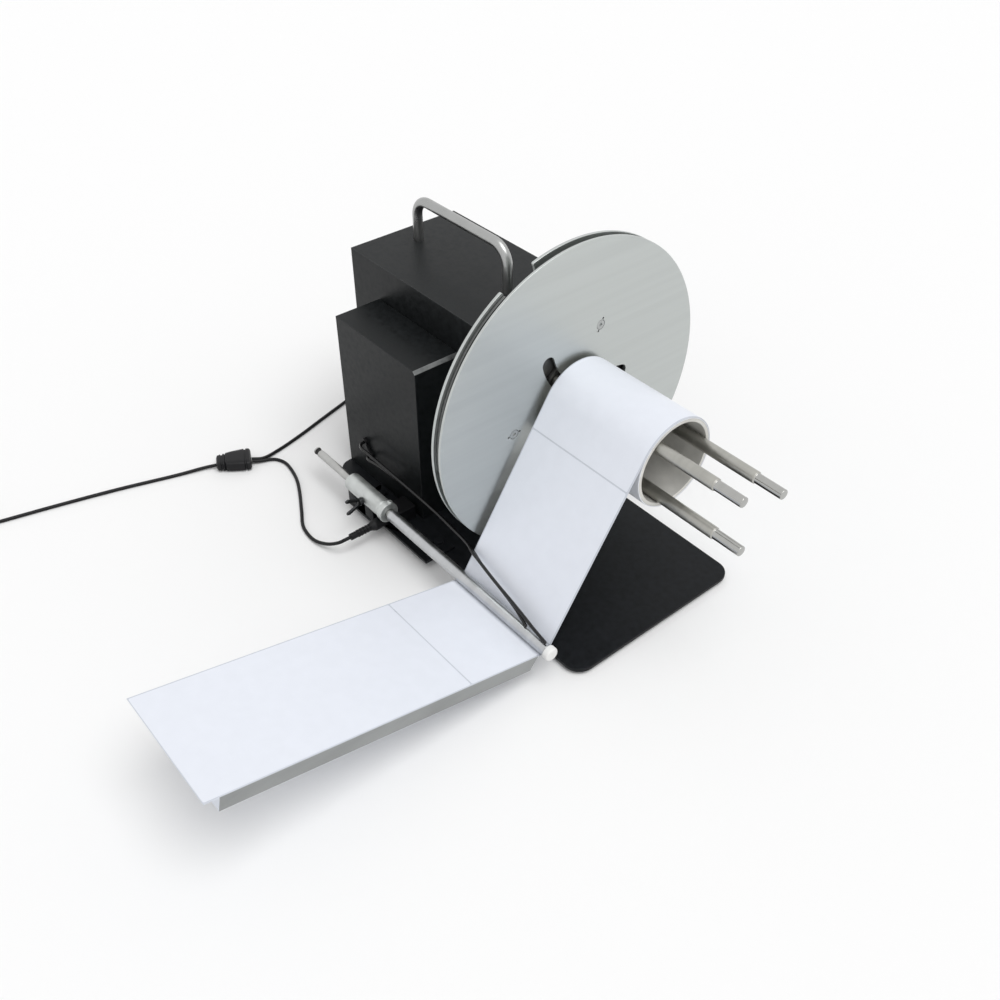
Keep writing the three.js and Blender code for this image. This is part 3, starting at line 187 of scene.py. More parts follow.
def surface(name, colour, roughness, metallic=0.0, stretch=(1, 1, 1), scale=900.0, tone=0.12,
            rough_tone=0.08, bump=0.15, depth=0.00005, specular=0.5):
    """A principled surface whose colour, roughness and height follow the drawn grain. The noise
    stays near its middle, so its range from 0.3 to 0.7 spans the whole tone."""
    paint = bpy.data.materials.new(name)
    paint.use_nodes = True
    tree = paint.node_tree
    where = add_node(tree, "TexCoord").outputs["Object"]
    grain = add_node(tree, "Group", {"Vector": where, "Stretch": stretch, "Scale": scale},
                     node_tree=drawn_grain).outputs
    spread = {"Value": grain["Tone"], "From Min": 0.3, "From Max": 0.7}
    share = add_node(tree, "MapRange", spread).outputs["Result"]
    dark, light = [c * (1 - tone) for c in colour], [min(c * (1 + tone), 1) for c in colour]
    blend = add_node(tree, "Mix", {"Factor": share, "A": (*dark, 1), "B": (*light, 1)},
                     data_type="RGBA")
    rough = add_node(tree, "MapRange", {**spread, "To Min": max(roughness - rough_tone, 0.02),
                                        "To Max": min(roughness + rough_tone, 1)})
    relief = add_node(tree, "Bump", {"Strength": bump, "Distance": depth,
                                     "Height": grain["Height"]})
    feed(tree, tree.nodes["Principled BSDF"],
         {"Base Color": blend.outputs["Result"], "Roughness": rough.outputs["Result"],
          "Normal": relief.outputs["Normal"], "Metallic": metallic,
          "Specular IOR Level": specular})
    return paint


def fitted(name, data, body, slot, *nodes):
    """The object for a piece's mesh or curve. It rides on the body and stands for the nodes."""
    made = stood(name, data)
    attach(made, body)
    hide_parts(*nodes)
    return made


cord_radius = 1.75
cord_rest = cord_radius + 0.1
cord_steps = 12
jacket = surface("cord_jacket", (0.007, 0.007, 0.008), 0.42, scale=700, tone=0.25, bump=0.1,
                 specular=0.22)
splitter_start = np.array([-311.8, -216.0])
splitter_heading = np.array([0.443, 0.896])
splitter_long = 36.0
splitter_gap = 0.3
exit_side = cord_radius + splitter_gap
exit_height = 4.0
rear_plug_end = -308.6
front_plug_end = -178.0


def beside_splitter(along, left, z):
    """A place beside the splitter: start + heading * along + (heading turned left) * left."""
    hx, hy = splitter_heading
    x, y = splitter_start + np.array([hx, hy]) * along + np.array([-hy, hx]) * left
    return [x, y, z]


def smooth_line(points, steps):
    """Centripetal Catmull-Rom line: cubic pieces whose knots lie apart by the square root of the
    points' distances, with an end tangent from a mirrored first and last point."""
    p = np.asarray(points, float)
    p = np.vstack([2 * p[0] - p[1], p, 2 * p[-1] - p[-2]])
    apart = np.linalg.norm(np.diff(p, axis=0), axis=1) ** 0.5
    d0, d1, d2 = apart[:-2, None], apart[1:-1, None], apart[2:, None]
    a, b, c, d = p[:-3], p[1:-2], p[2:-1], p[3:]
    t1 = ((b - a) / d0 - (c - a) / (d0 + d1) + (c - b) / d1) * d1
    t2 = ((c - b) / d1 - (d - b) / (d1 + d2) + (d - c) / d2) * d1
    t = (np.arange(steps) / steps)[None, :, None]
    b, c, t1, t2 = b[:, None], c[:, None], t1[:, None], t2[:, None]
    line = b + t1 * t + (-3 * b + 3 * c - 2 * t1 - t2) * t ** 2 + (2 * b - 2 * c + t1 + t2) * t ** 3
    return np.vstack([line.reshape(-1, 3), p[-2]])


def flex(name, line, *nodes):
    """A round cord along a line of points: one open curve with a round bevel and closed ends."""
    points = place(line)
    curve = bpy.data.curves.new(name, "CURVE")
    curve.dimensions = "3D"
    curve.bevel_depth = cord_radius * mm
    curve.bevel_resolution = 5
    curve.use_fill_caps = True
    spline = curve.splines.new("POLY")
    spline.points.add(len(points) - 1)
    spline.points.foreach_set("co", np.column_stack([points, np.ones(len(points))]).ravel())
    spline.use_smooth = True
    curve.materials.append(jacket)
    length = np.linalg.norm(np.diff(points, axis=0), axis=1).sum()
    return fitted(name, curve, "frame", "cord_jacket", *nodes), tuple(points[0]), float(length)


front_line = smooth_line([
    beside_splitter(splitter_long + splitter_gap, -exit_side, exit_height),
    beside_splitter(splitter_long + splitter_gap + 8, -exit_side, exit_height - 1),
    [-284, -163, cord_rest], [-273, -157.5, cord_rest], [-259, -158, cord_rest],
    [-240, -162.5, cord_rest], [-222, -170.2, cord_rest], [-193, -185.5, cord_rest],
    [-170.8, -197, cord_rest], [-147.5, -199.6, 2.8], [-130, -195, 7], [-118.5, -188.5, 13],
    [-114.6, -183, 16.5], [-114, front_plug_end - splitter_gap, 17]], cord_steps)
front_cord, front_exit, front_length = flex("front_flex", front_line, "cord_to_front")

rear_line = smooth_line([
    beside_splitter(splitter_long + splitter_gap, exit_side, exit_height),
    beside_splitter(splitter_long + splitter_gap + 12, exit_side, exit_height - 1),
    [-295.5, -150, cord_rest], [-303, -119, cord_rest], [-312.6, -87, cord_rest],
    [-324, -48.5, cord_rest], [-334, -15, cord_rest], [-341, 12, 3], [-343, 32, 10],
    [-337, 47, 22], [-324, 51.5, 33], [-312.6, 52, 38],
    [rear_plug_end - splitter_gap, 52, 38]], cord_steps)[::-1]
rear_cord, rear_exit, rear_length = flex("rear_flex", rear_line, "cord_to_rear")

coil_loops, coil_inner, coil_pitch, coil_tail, tail_fall = 4, 11.4, 4.6, 45.0, 0.7
coil_climb, coil_steps = 0.5, 480
coil_start = np.array([-382.6, -470.6])
coil_heading = math.atan2(-0.226, 0.974)
coil_outer = coil_inner + coil_loops * coil_pitch
coil_turns = 2 * (coil_loops + coil_climb)
supply_run = smooth_line([
    beside_splitter(-splitter_gap, 0, exit_height), beside_splitter(-12, 0, exit_height - 1),
    [-325.8, -255, cord_rest], [-343, -311, cord_rest], [-358.3, -369, cord_rest],
    [-371, -422, cord_rest], [-382.1, -468.4, cord_rest], [*coil_start, cord_rest]], cord_steps)


def coil_line():
    """A flat spiral that winds in over its loops, climbs one cord in half a turn, winds out again
    on top, and leaves along its tangent, falling smoothly back to the table."""
    tail_turns = coil_tail / (math.tau * coil_outer)
    turns = np.linspace(0, coil_turns + tail_turns, coil_steps)
    wound = np.minimum(turns, coil_turns)
    climb = np.clip((wound - coil_loops) / coil_climb, 0, 1)
    radius = coil_outer - coil_pitch * np.minimum(wound, coil_loops)
    radius = radius + coil_pitch * np.maximum(wound - coil_loops - coil_climb, 0)
    angle = coil_heading - math.tau * wound
    middle = coil_start - coil_outer * np.array([math.cos(coil_heading), math.sin(coil_heading)])
    past = np.clip((turns - coil_turns) / tail_turns, 0, 1)
    fall = np.minimum(past / tail_fall, 1)
    height = coil_pitch * climb ** 2 * (3 - 2 * climb) * (1 - fall ** 2 * (3 - 2 * fall))
    x = middle[0] + radius * np.cos(angle) + coil_tail * past * np.sin(angle)
    y = middle[1] + radius * np.sin(angle) - coil_tail * past * np.cos(angle)
    return np.column_stack([x, y, cord_rest + height])


supply_line = np.vstack([supply_run[:-1], coil_line()])
supply_cord, supply_exit, supply_length = flex("supply_flex", supply_line, "cord_supply",
                                               "cord_coil")


# Plugs, splitter and connector: black moulded plastic with ribbed necks that the flex leaves by.
# The two plugs sit in the sockets, the splitter and the connector lie on the table.
def turned(profile, centre, axis="x", sides=48):
    """A profile of (radius, distance along the axis) turned about the axis through the centre:
    point = centre + radius * (cos, sin) across the axis + distance along it. A profile that starts
    and ends on one place closes into a ring, and one that ends on the axis closes there."""
    rows = np.asarray(profile, float)
    angle = np.arange(sides) / sides * math.tau
    across = rows[:, :1] * np.cos(angle), rows[:, :1] * np.sin(angle)
    along = np.repeat(rows[:, 1:], sides, axis=1)
    first, second = centre[0] + across[0], centre[1] + across[1]
    order = {"x": (along, first, second), "y": (first, along, second), "z": (first, second, along)}
    points = np.stack(order[axis], axis=2).reshape(-1, 3)
    return points, grid_faces(len(rows), sides)


def grid_faces(rows, columns, wrap=True):
    """Quads between the rows of a grid; with wrap the last column meets the first."""
    count = columns if wrap else columns - 1
    row, column = np.meshgrid(np.arange(rows - 1), np.arange(count), indexing="ij")
    a = row * columns + column
    b = row * columns + (column + 1) % columns
    return np.stack([a, b, b + columns, a + columns], axis=2).reshape(-1, 4).tolist()


def softened(points, radius, steps=5, closed=True, least=15):
    """Corners sharper than the least angle become circle arcs, each a rational quadratic from one
    tangent point to the other whose middle weight is the cosine of half the turn."""
    p = np.asarray(points, float)
    before, after = np.roll(p, 1, axis=0) - p, np.roll(p, -1, axis=0) - p
    la, lb = np.linalg.norm(before, axis=1), np.linalg.norm(after, axis=1)
    ua, ub = before / np.maximum(la, 1e-9)[:, None], after / np.maximum(lb, 1e-9)[:, None]
    turn = math.pi - np.arccos(np.clip((ua * ub).sum(axis=1), -1, 1))
    cut = np.broadcast_to(radius, turn.shape) * np.tan(turn / 2)
    cut = np.minimum(cut, 0.48 * np.minimum(la, lb))
    bent = turn > math.radians(least)
    if not closed:
        bent[[0, -1]] = False
    cut = np.where(bent, cut, 0)[:, None, None]
    t = (np.arange(steps + 1) / steps)[None, :, None]
    w = np.cos(turn / 2)[:, None, None]
    a, b, c = p[:, None] + ua[:, None] * cut, p[:, None] + ub[:, None] * cut, p[:, None]
    share = (1 - t) ** 2 + 2 * w * t * (1 - t) + t ** 2
    line = ((1 - t) ** 2 * a + 2 * w * t * (1 - t) * c + t ** 2 * b) / share
    kept = np.ones(line.shape[:2], bool)
    kept[:, 1:] = bent[:, None]
    return line[kept]


def joined(*shapes):
    """Several shapes as one list of points and faces."""
    points, faces, count = [], [], 0
    for some, around in shapes:
        points.append(np.asarray(some))
        faces.extend([[i + count for i in face] for face in around])
        count += len(some)
    return np.vstack(points), faces


def moved(shape, matrix):
    """A shape carried by a 4 x 4 matrix."""
    points = np.column_stack([shape[0], np.ones(len(shape[0]))]) @ np.array(matrix).T
    return points[:, :3], shape[1]


skin_sharp = 35


def merged(mesh, finish, sharp, solid=False):
    """Merges a mesh's doubled points, then joins the coplanar triangles of a solid or turns the
    faces of a new shape outwards. It is smooth but for its sharp edges, and takes its finish."""
    work = bmesh.new()
    work.from_mesh(mesh)
    bmesh.ops.remove_doubles(work, verts=work.verts, dist=1e-6)
    if solid:
        bmesh.ops.dissolve_limit(work, angle_limit=math.radians(1), verts=work.verts,
                                 edges=work.edges)
    else:
        bmesh.ops.recalc_face_normals(work, faces=work.faces)
    work.to_mesh(mesh)
    work.free()
    mesh.shade_smooth()
    mesh.set_sharp_from_angle(angle=math.radians(sharp))
    mesh.materials.clear()
    mesh.materials.append(finish)


def skin(name, shape, body, slot, finish, *nodes):
    """The object for a shape. Weighted normals keep its caps of many corners flat."""
    mesh = bpy.data.meshes.new(name)
    mesh.from_pydata(place(shape[0]).tolist(), [], shape[1])
    merged(mesh, finish, skin_sharp)
    made = fitted(name, mesh, body, slot, *nodes)
    made.modifiers.new("level_caps", "WEIGHTED_NORMAL").keep_sharp = True
    return made


moulded = surface("moulded_black", (0.006, 0.006, 0.007), 0.4, scale=900, tone=0.2, bump=0.25,
                  specular=0.25)
rear_plug_size, front_plug_size = (5.0, 20.0, 3.0, 15.0), (6.0, 27.0, 3.8, 23.9)
pin_radius, pin_long = 2.7, 9.0
plug_lead, plug_tail, plug_waist, plug_step, plug_round = 3, 4, 0.5, 0.4, 0.9
rib_width, rib_count, rib_step, rib_slope, rib_groove = 1.7, 5, 3.4, 0.3, 0.6
tail_least, end_round = 0.5, 0.5


def plug_profile(end, grip_radius, grip_long, neck_radius, neck_long):
    """A plug from its pin back to its end, where the cord leaves. The grip has rounded shoulders
    and a waist, and the neck is a row of ribs, then a plain tube."""
    grip = softened([(pin_radius, 0), (grip_radius - plug_step, 0), (grip_radius, plug_lead),
                     (grip_radius - plug_waist, grip_long / 2),
                     (grip_radius, grip_long - plug_tail),
                     (neck_radius + plug_step, grip_long)], plug_round, 4, False)
    start = grip_long + plug_step + np.arange(rib_count) * rib_step
    long = grip_long + neck_long
    start = start[start + rib_step < long - tail_least]
    over, under = np.full(len(start), neck_radius), np.full(len(start), neck_radius - rib_groove)
    ribs = np.stack([over, start, over, start + rib_width, under, start + rib_width + rib_slope,
                     under, start + rib_step - rib_slope], axis=1).reshape(-1, 2)
    tail_radius = neck_radius - plug_step
    tail = softened([(tail_radius, start[-1] + rib_step), (tail_radius, long), (0, long)],
                    end_round, 3, False)
    pin = softened([(0, -pin_long), (pin_radius, -pin_long), (pin_radius, 0)], end_round, 3, False)
    rows = np.vstack([pin, grip, ribs, tail])
    rows[:, 1] = end + long - rows[:, 1]
    return rows


rear_plug = skin("rear_plug", turned(plug_profile(rear_plug_end, *rear_plug_size), (52, 38)),
                 "frame", "black_plastic", moulded, "power_plug_rear")
front_plug = skin("front_plug", turned(plug_profile(front_plug_end, *front_plug_size),
                                       (-114, 17), "y"),
                  "frame", "black_plastic", moulded, "power_plug_front")

splitter_low, splitter_top = 0.3, 12.3
splitter_sections = np.array([
    (0, 6.5, 3.0), (1.2, 8.6, 1.0), (4.5, 9.4, 0.5), (5.2, 8.4, 1.1), (6.4, 8.4, 1.1),
    (7.1, 9.9, 0.4), (8.3, 9.9, 0.4), (9.0, 8.9, 1.0), (10.2, 10.6, 0.1), (16, 12, 0),
    (26, 13.4, 0), (29, 13.8, 0.1), (29.7, 12.6, 0.8), (30.9, 12.6, 0.8), (31.6, 13.9, 0.2),
    (34.6, 13.8, 0.5), (splitter_long, 12.2, 2.2)])
splitter_sides, splitter_power = 32, 0.42


def lofted(rows):
    """A closed skin over rows of points round a body, with a flat cap at each end."""
    rows = np.asarray(rows, float)
    count, around = rows.shape[:2]
    faces = grid_faces(count, around)
    faces += [list(range(around))[::-1], [(count - 1) * around + i for i in range(around)]]
    return rows.reshape(-1, 3), faces


def splitter_shape():
    """Rounded boxes across the splitter's heading, each with its place, its half width and how
    far it falls short of the full height: (cos, sin) raised to a power, times half the box. The
    wide body narrows to the supply side and has shallow grooves across it at both ends."""
    along, half, drop = splitter_sections.T[:, :, None]
    angle = np.arange(splitter_sides) / splitter_sides * math.tau
    round_y = np.sign(np.cos(angle)) * np.abs(np.cos(angle)) ** splitter_power
    round_z = np.sign(np.sin(angle)) * np.abs(np.sin(angle)) ** splitter_power
    middle, tall = (splitter_low + splitter_top) / 2, (splitter_top - splitter_low) / 2
    side = half * round_y
    hx, hy = splitter_heading
    x = splitter_start[0] + hx * along - hy * side
    y = splitter_start[1] + hy * along + hx * side
    z = middle + (tall - drop) * round_z
    z = np.where(round_z[None] < 0, np.maximum(z, splitter_low), z)
    return lofted(np.stack([x, y, z], axis=2))


splitter = skin("flex_splitter", splitter_shape(), "frame", "black_plastic", moulded,
                "cord_splitter")

connector_radius, connector_long, connector_lift = 5.0, 30.0, 0.3
connector_nose, connector_neck, connector_waist = 2.6, 3.4, 0.5
connector_bore, connector_deep = 2.4, 12
connector_way = np.array([math.sin(coil_heading), -math.cos(coil_heading)])
connector_foot = supply_line[-1, :2] + connector_way * splitter_gap
connector_profile = softened([
    (0, 0), (connector_nose, 0), (connector_neck, 4), (connector_radius - connector_waist, 7),
    (connector_radius, 12), (connector_radius - connector_waist, 18),
    (connector_radius, connector_long), (connector_bore, connector_long),
    (connector_bore, connector_long - connector_deep), (0, connector_long - connector_deep)],
    0.6, 4, False)
connector_turn = Matrix.Translation((*connector_foot, connector_radius + connector_lift))
connector_turn = connector_turn @ Matrix.Rotation(
    math.atan2(connector_way[1], connector_way[0]), 4, "Z")
connector = skin("flex_connector",
                 moved(turned(connector_profile, (0, 0), "x", 40), connector_turn),
                 "frame", "black_plastic", moulded, "supply_connector")


# Base plate: 4 mm steel sheet with round corners, coated black, on four rubber feet. It carries
# both housings, and a step at its left end, hidden in the photograph, lies under the tall one.
def filled(loops):
    """Delaunay triangles between closed loops, kept where a line from the triangle's middle
    crosses the loops an odd number of times."""
    points = np.vstack(loops)
    edges, start = [], 0
    for loop in loops:
        index = start + np.arange(len(loop))
        edges.append(np.column_stack([index, np.roll(index, -1)]))
        start += len(loop)
    edges = np.vstack(edges)
    made = delaunay_2d_cdt([Vector(p) for p in points.tolist()], edges.tolist(), [], 0, 1e-7)
    index = np.array([origin[0] for origin in made[3]])
    triangles = index[np.array(made[2])]
    middle = points[triangles].mean(axis=1)[:, None]
    a, b = points[edges[:, 0]][None], points[edges[:, 1]][None]
    over = (a[..., 1] > middle[..., 1]) != (b[..., 1] > middle[..., 1])
    rise = np.where(over, b[..., 1] - a[..., 1], 1)
    reach = a[..., 0] + (b[..., 0] - a[..., 0]) * (middle[..., 1] - a[..., 1]) / rise
    inside = (over & (middle[..., 0] < reach)).sum(axis=1) % 2 == 1
    return triangles[inside]


edge_steps, hole_edge, mitre_least = 3, 0.12, 0.6


def plate(loops, low, high, edge, axis="x"):
    """Outlines (the first one outside, the others holes) between two distances along an axis. The
    wall is a grid: each ring is the outline moved in along its corners' mitres as a quarter circle
    of the edge's radius is climbed, and both ends are filled between the last rings."""
    rise = np.linspace(0, math.pi / 2, edge_steps + 1)
    points, faces, count, ends, starts = [], [], 0, [], []
    for number, loop in enumerate(loops):
        round_edge = hole_edge if number else edge
        inset, climb = round_edge * (1 - np.cos(rise)), round_edge * np.sin(rise)
        insets = np.concatenate([inset[::-1], inset])
        heights = np.concatenate([low + round_edge - climb[::-1], high - round_edge + climb])
        line = np.asarray(loop, float)
        area = (line[:, 0] * np.roll(line[:, 1], -1) - np.roll(line[:, 0], -1) * line[:, 1]).sum()
        if (area < 0) == (number == 0):
            line = line[::-1]
        way = np.roll(line, -1, axis=0) - line
        way = way / np.linalg.norm(way, axis=1)[:, None]
        normal = np.column_stack([-way[:, 1], way[:, 0]])
        both = normal + np.roll(normal, 1, axis=0)
        mitre = both * (2 / np.maximum((both ** 2).sum(axis=1), mitre_least))[:, None]
        rings = line[None] + mitre[None] * insets[:, None, None]
        tall = np.broadcast_to(heights[:, None, None], (*rings.shape[:2], 1))
        points.append(np.concatenate([rings, tall], axis=2).reshape(-1, 3))
        faces.extend([[i + count for i in quad] for quad in grid_faces(len(insets), len(line))])
        ends.append(rings[0])
        starts.append((count, len(line)))
        count += len(points[-1])
    cap = filled(ends)
    last = len(insets) - 1
    bottom = np.concatenate([start + np.arange(size) for start, size in starts])
    top = np.concatenate([start + np.arange(size) + size * last for start, size in starts])
    faces += bottom[cap[:, ::-1]].tolist() + top[cap].tolist()
    shape = np.vstack(points)
    if axis == "x":
        shape = shape[:, [2, 0, 1]]
    return shape, faces


base_coat = surface("base_coat", (0.008, 0.009, 0.0105), 0.42, scale=1500, tone=0.3, bump=0.35,
                    specular=0.14)
base_low, base_top, base_edge = 3.2, 7.2, 0.7
base_left, base_right, base_front, base_back = -227, 146, -121, 77
step_left, step_front = -271, -51
base_outline = [(base_left, base_front), (base_right, base_front), (base_right, base_back),
                (step_left, base_back), (step_left, step_front), (base_left, step_front)]
base_corner, step_corner, inner_corner = 16, 6, 1.5
base_loop = softened(base_outline, np.array([base_corner] * 3 + [step_corner] + [inner_corner] * 2),
                     12)
skin("base_sheet", plate([base_loop], base_low, base_top, base_edge, "z"), "frame", "base_coat",
     base_coat, "base_plate")

foot_rubber = surface("foot_rubber", (0.012, 0.012, 0.012), 0.8, scale=800, tone=0.3, bump=0.3)
foot_radius, foot_high, foot_hollow, foot_deep, foot_inset = 9, 3, 4, 0.9, 20
foot_profile = softened([(0, foot_deep), (foot_hollow, foot_deep), (foot_hollow + 0.4, 0),
                         (foot_radius - 0.8, 0), (foot_radius, foot_high), (0, foot_high)],
                        0.4, 3, False)
foot_corners = [(base_left + foot_inset, base_front + foot_inset),
                (base_right - foot_inset, base_front + foot_inset),
                (base_right - foot_inset, base_back - foot_inset),
                (step_left + foot_inset, base_back - foot_inset)]
for number, corner in enumerate(foot_corners, 1):
    skin(f"foot_pad_{number}", turned(foot_profile, corner, "z", 40), "frame", "foot_rubber",
         foot_rubber, f"base_foot_{number}")


# Housings: folded 1.5 mm steel, powder coated black. The tall one is a hood over the motor and
# bearings with a panel let into each end; the low one holds the feelers' board, and its right top
# edge is bevelled. The bevel's faces are painted a lighter metallic grey as a painted highlight.
def wear_and_highlight_edge_group():
    """How far the rounded normal leaves the true one, broken up by noise: 1 on an edge. The edges
    it marks are painted lighter, partly as wear and partly as painted highlight.
    """
    tree, given = effect("edge_wear_and_highlight", {"Width": "Float"}, ["Edge"])
    soft = add_node(tree, "Bevel", {"Radius": given["Width"]}, samples=4).outputs["Normal"]
    true = add_node(tree, "NewGeometry").outputs["Normal"]
    facing = add_node(tree, "VectorMath", {0: soft, 1: true}, operation="DOT_PRODUCT")
    bare = add_node(tree, "MapRange", {"Value": facing.outputs["Value"], "From Min": 0.985,
                                       "From Max": 0.86}).outputs["Result"]
    where = add_node(tree, "TexCoord").outputs["Object"]
    noise = add_node(tree, "TexNoise", {"Vector": where, "Scale": 60, "Detail": 4})
    broken = add_node(tree, "Math", {0: bare, 1: noise.outputs["Fac"]}, operation="MULTIPLY")
    feed(tree, tree.nodes.new("NodeGroupOutput"), {"Edge": broken.outputs[0]})
    return tree


def overlaid(paint, mask, colour, blend="MIX"):
    """A further colour over a material's own, where the mask is high."""
    tree = paint.node_tree
    shader = tree.nodes["Principled BSDF"]
    below = shader.inputs["Base Color"].links[0].from_socket
    mix = add_node(tree, "Mix", {"Factor": mask, "A": below, "B": (*colour, 1)},
                   data_type="RGBA", blend_type=blend)
    feed(tree, shader, {"Base Color": mix.outputs["Result"]})


edge_wear_and_highlight = wear_and_highlight_edge_group()
housing_coat = surface("housing_coat", (0.0085, 0.0098, 0.0105), 0.4, scale=1700, tone=0.3,
                       bump=0.45, specular=0.155)
# The coat's edges are painted a lighter grey: partly wear, partly painted highlight.
wear_and_highlight_edge = add_node(housing_coat.node_tree, "Group", {"Width": 0.9 * mm}, node_tree=edge_wear_and_highlight)
overlaid(housing_coat, wear_and_highlight_edge.outputs["Edge"], (0.10, 0.105, 0.11))
board_green = surface("board_green", (0.02, 0.10, 0.05), 0.4, scale=500, tone=0.3)
solid_sharp, solid_segments = 30, 3


def dressed(name, node, body, slot, finish, width):
    """A merged copy of a solid whose sharp edges are rounded to the width, in millimetres."""
    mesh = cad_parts[node].data.copy()
    mesh.name = name
    merged(mesh, finish, solid_sharp, solid=True)
    made = fitted(name, mesh, body, slot, node)
    edge = made.modifiers.new("edges", "BEVEL")
    edge.width = width * mm
    edge.segments = solid_segments
    edge.limit_method = "ANGLE"
    edge.angle_limit = math.radians(solid_sharp)
    edge.harden_normals = True
    return made


def face_values(piece, kind):
    """The centre or the normal of each face, one a row."""
    values = np.empty(len(piece.data.polygons) * 3)
    piece.data.polygons.foreach_get(kind, values)
    return values.reshape(-1, 3)


def refinished(piece, finishes, chosen):
    """Further finishes for a piece: each face takes the one of its number, 0 for the first."""
    for finish in finishes:
        piece.data.materials.append(finish)
    piece.data.polygons.foreach_set("material_index", chosen.astype(np.int32))


dressed("tall_hood", "tall_housing_hood", "frame", "coat", housing_coat, 0.5)
dressed("spindle_side_panel", "tall_housing_spindle_panel", "frame", "coat", housing_coat, 0.4)
dressed("control_side_panel", "tall_housing_control_panel", "frame", "coat", housing_coat, 0.4)
low_cover = dressed("low_cover", "low_housing_cover", "frame", "coat", housing_coat, 0.5)
# The bevel's faces that look up and to the right are painted a lighter metallic grey: a painted
# highlight.
chamfer_painted_highlight = surface("chamfer_painted_highlight", (0.16, 0.165, 0.165), 0.35, metallic=0.6, scale=1200,
                       tone=0.2, bump=0.2)
facing = face_values(low_cover, "normal")
refinished(low_cover, [chamfer_painted_highlight], (facing[:, 0] > 0.6) & (facing[:, 2] > 0.6))
dressed("feeler_board", "feeler_circuit_board", "frame", "circuit", board_green, 0.2)
dressed("motor_board", "control_board", "frame", "circuit", board_green, 0.2)


# Carry handle: a 10 mm steel bar bent to a U and satin polished. It is bolted down through the
# hood with a nut on each leg under the sheet.
def swept(line, radius, sides):
    """A round tube along a line of points. At each point the ring lies across the mean of the two
    neighbouring steps: ring = point + radius * (side * cos + over * sin). Both ends are closed."""
    p = np.asarray(line, float)
    way = np.gradient(p, axis=0)
    way /= np.linalg.norm(way, axis=1)[:, None]
    up = np.eye(3)[int(np.argmin(np.ptp(p, axis=0)))]
    side = np.cross(up, way)
    side /= np.linalg.norm(side, axis=1)[:, None]
    over = np.cross(way, side)
    angle = np.arange(sides) / sides * math.tau
    size = np.broadcast_to(radius, len(p))[:, None, None]
    ring = side[:, None] * np.cos(angle)[:, None] + over[:, None] * np.sin(angle)[:, None]
    return lofted(p[:, None] + size * ring)


def resampled(line, step):
    """The same line with points about one step apart."""
    p = np.asarray(line, float)
    far = np.concatenate([[0], np.cumsum(np.linalg.norm(np.diff(p, axis=0), axis=1))])
    at = np.linspace(0, far[-1], max(2, int(far[-1] / step)))
    return np.column_stack([np.interp(at, far, p[:, k]) for k in range(3)])


satin_bar = surface("satin_bar", (0.40, 0.405, 0.40), 0.3, metallic=1.0, scale=420, tone=0.06,
                    rough_tone=0.06, bump=0.05)
bar_radius, bar_left, bar_right, bar_y = 5.0, -243.0, -106.0, 11.0
bar_top, bar_bend, bar_foot = 262.0, 18.0, 214.6
nut_radius, nut_low, nut_high = 7.4, 213.3, 216.3
bar_route = softened([(bar_left, bar_y, bar_foot), (bar_left, bar_y, bar_top),
                      (bar_right, bar_y, bar_top), (bar_right, bar_y, bar_foot)],
                     bar_bend, 14, False)
nut_profile = softened([(0, nut_low), (nut_radius, nut_low), (nut_radius, nut_high),
                        (0, nut_high)], 0.5, 3, False)
bar_nuts = [turned(nut_profile, (x, bar_y), "z", 6) for x in (bar_left, bar_right)]
skin("handle_bar", joined(swept(resampled(bar_route, 2.5), bar_radius, 28), *bar_nuts), "frame",
     "brushed_bar", satin_bar, "carry_handle")


# Drive: a gear motor on an angle bracket, two pulleys and a toothed belt, and the bearings in
# their flanged carrier. All of it is inside the tall housing, out of sight.
machined = surface("machined_steel", (0.42, 0.42, 0.41), 0.35, metallic=1.0, scale=500, tone=0.08,
                   bump=0.1)
bright = surface("bright_steel", (0.62, 0.62, 0.62), 0.22, metallic=1.0, scale=600, tone=0.06,
                 bump=0.05)
belt_black = surface("belt_rubber", (0.012, 0.012, 0.012), 0.75, scale=600, tone=0.3, bump=0.3)
for name, node, body, slot, finish, width in [
        ("drive_motor", "gear_motor", "frame", "satin_steel", machined, 0.4),
        ("motor_angle", "motor_bracket", "frame", "satin_steel", machined, 0.3),
        ("small_pulley", "motor_pulley", "motor_output", "brushed_bar", machined, 0.2),
        ("large_pulley", "spindle_pulley", "spindle", "brushed_bar", machined, 0.2),
        ("belt", "drive_belt", "frame", "foot_rubber", belt_black, 0.2),
        ("bearing_flange", "bearing_carrier", "frame", "coat", housing_coat, 0.4),
        ("bearing_inside", "bearing_inner", "frame", "bright_steel", bright, 0.3),
        ("bearing_outside", "bearing_outer", "frame", "bright_steel", bright, 0.3)]:
    dressed(name, node, body, slot, finish, width)


# Controls on the end panel, on the side that the photograph doesn't show: a torque knob on its
# potentiometer, a rocker switch in its frame, and the power socket. Black moulded plastic.
white_mark = surface("pointer_white", (0.8, 0.8, 0.79), 0.4, scale=600, tone=0.05)
knob_centre, knob_right, knob_long, knob_radius = (20, 172), -271.7, 14.0, 11.0
knob_bore, knob_deep, knob_shoulder = 3.4, 8.6, 3
flute_count, flute_share, flute_start = 24, 0.035, 1.5


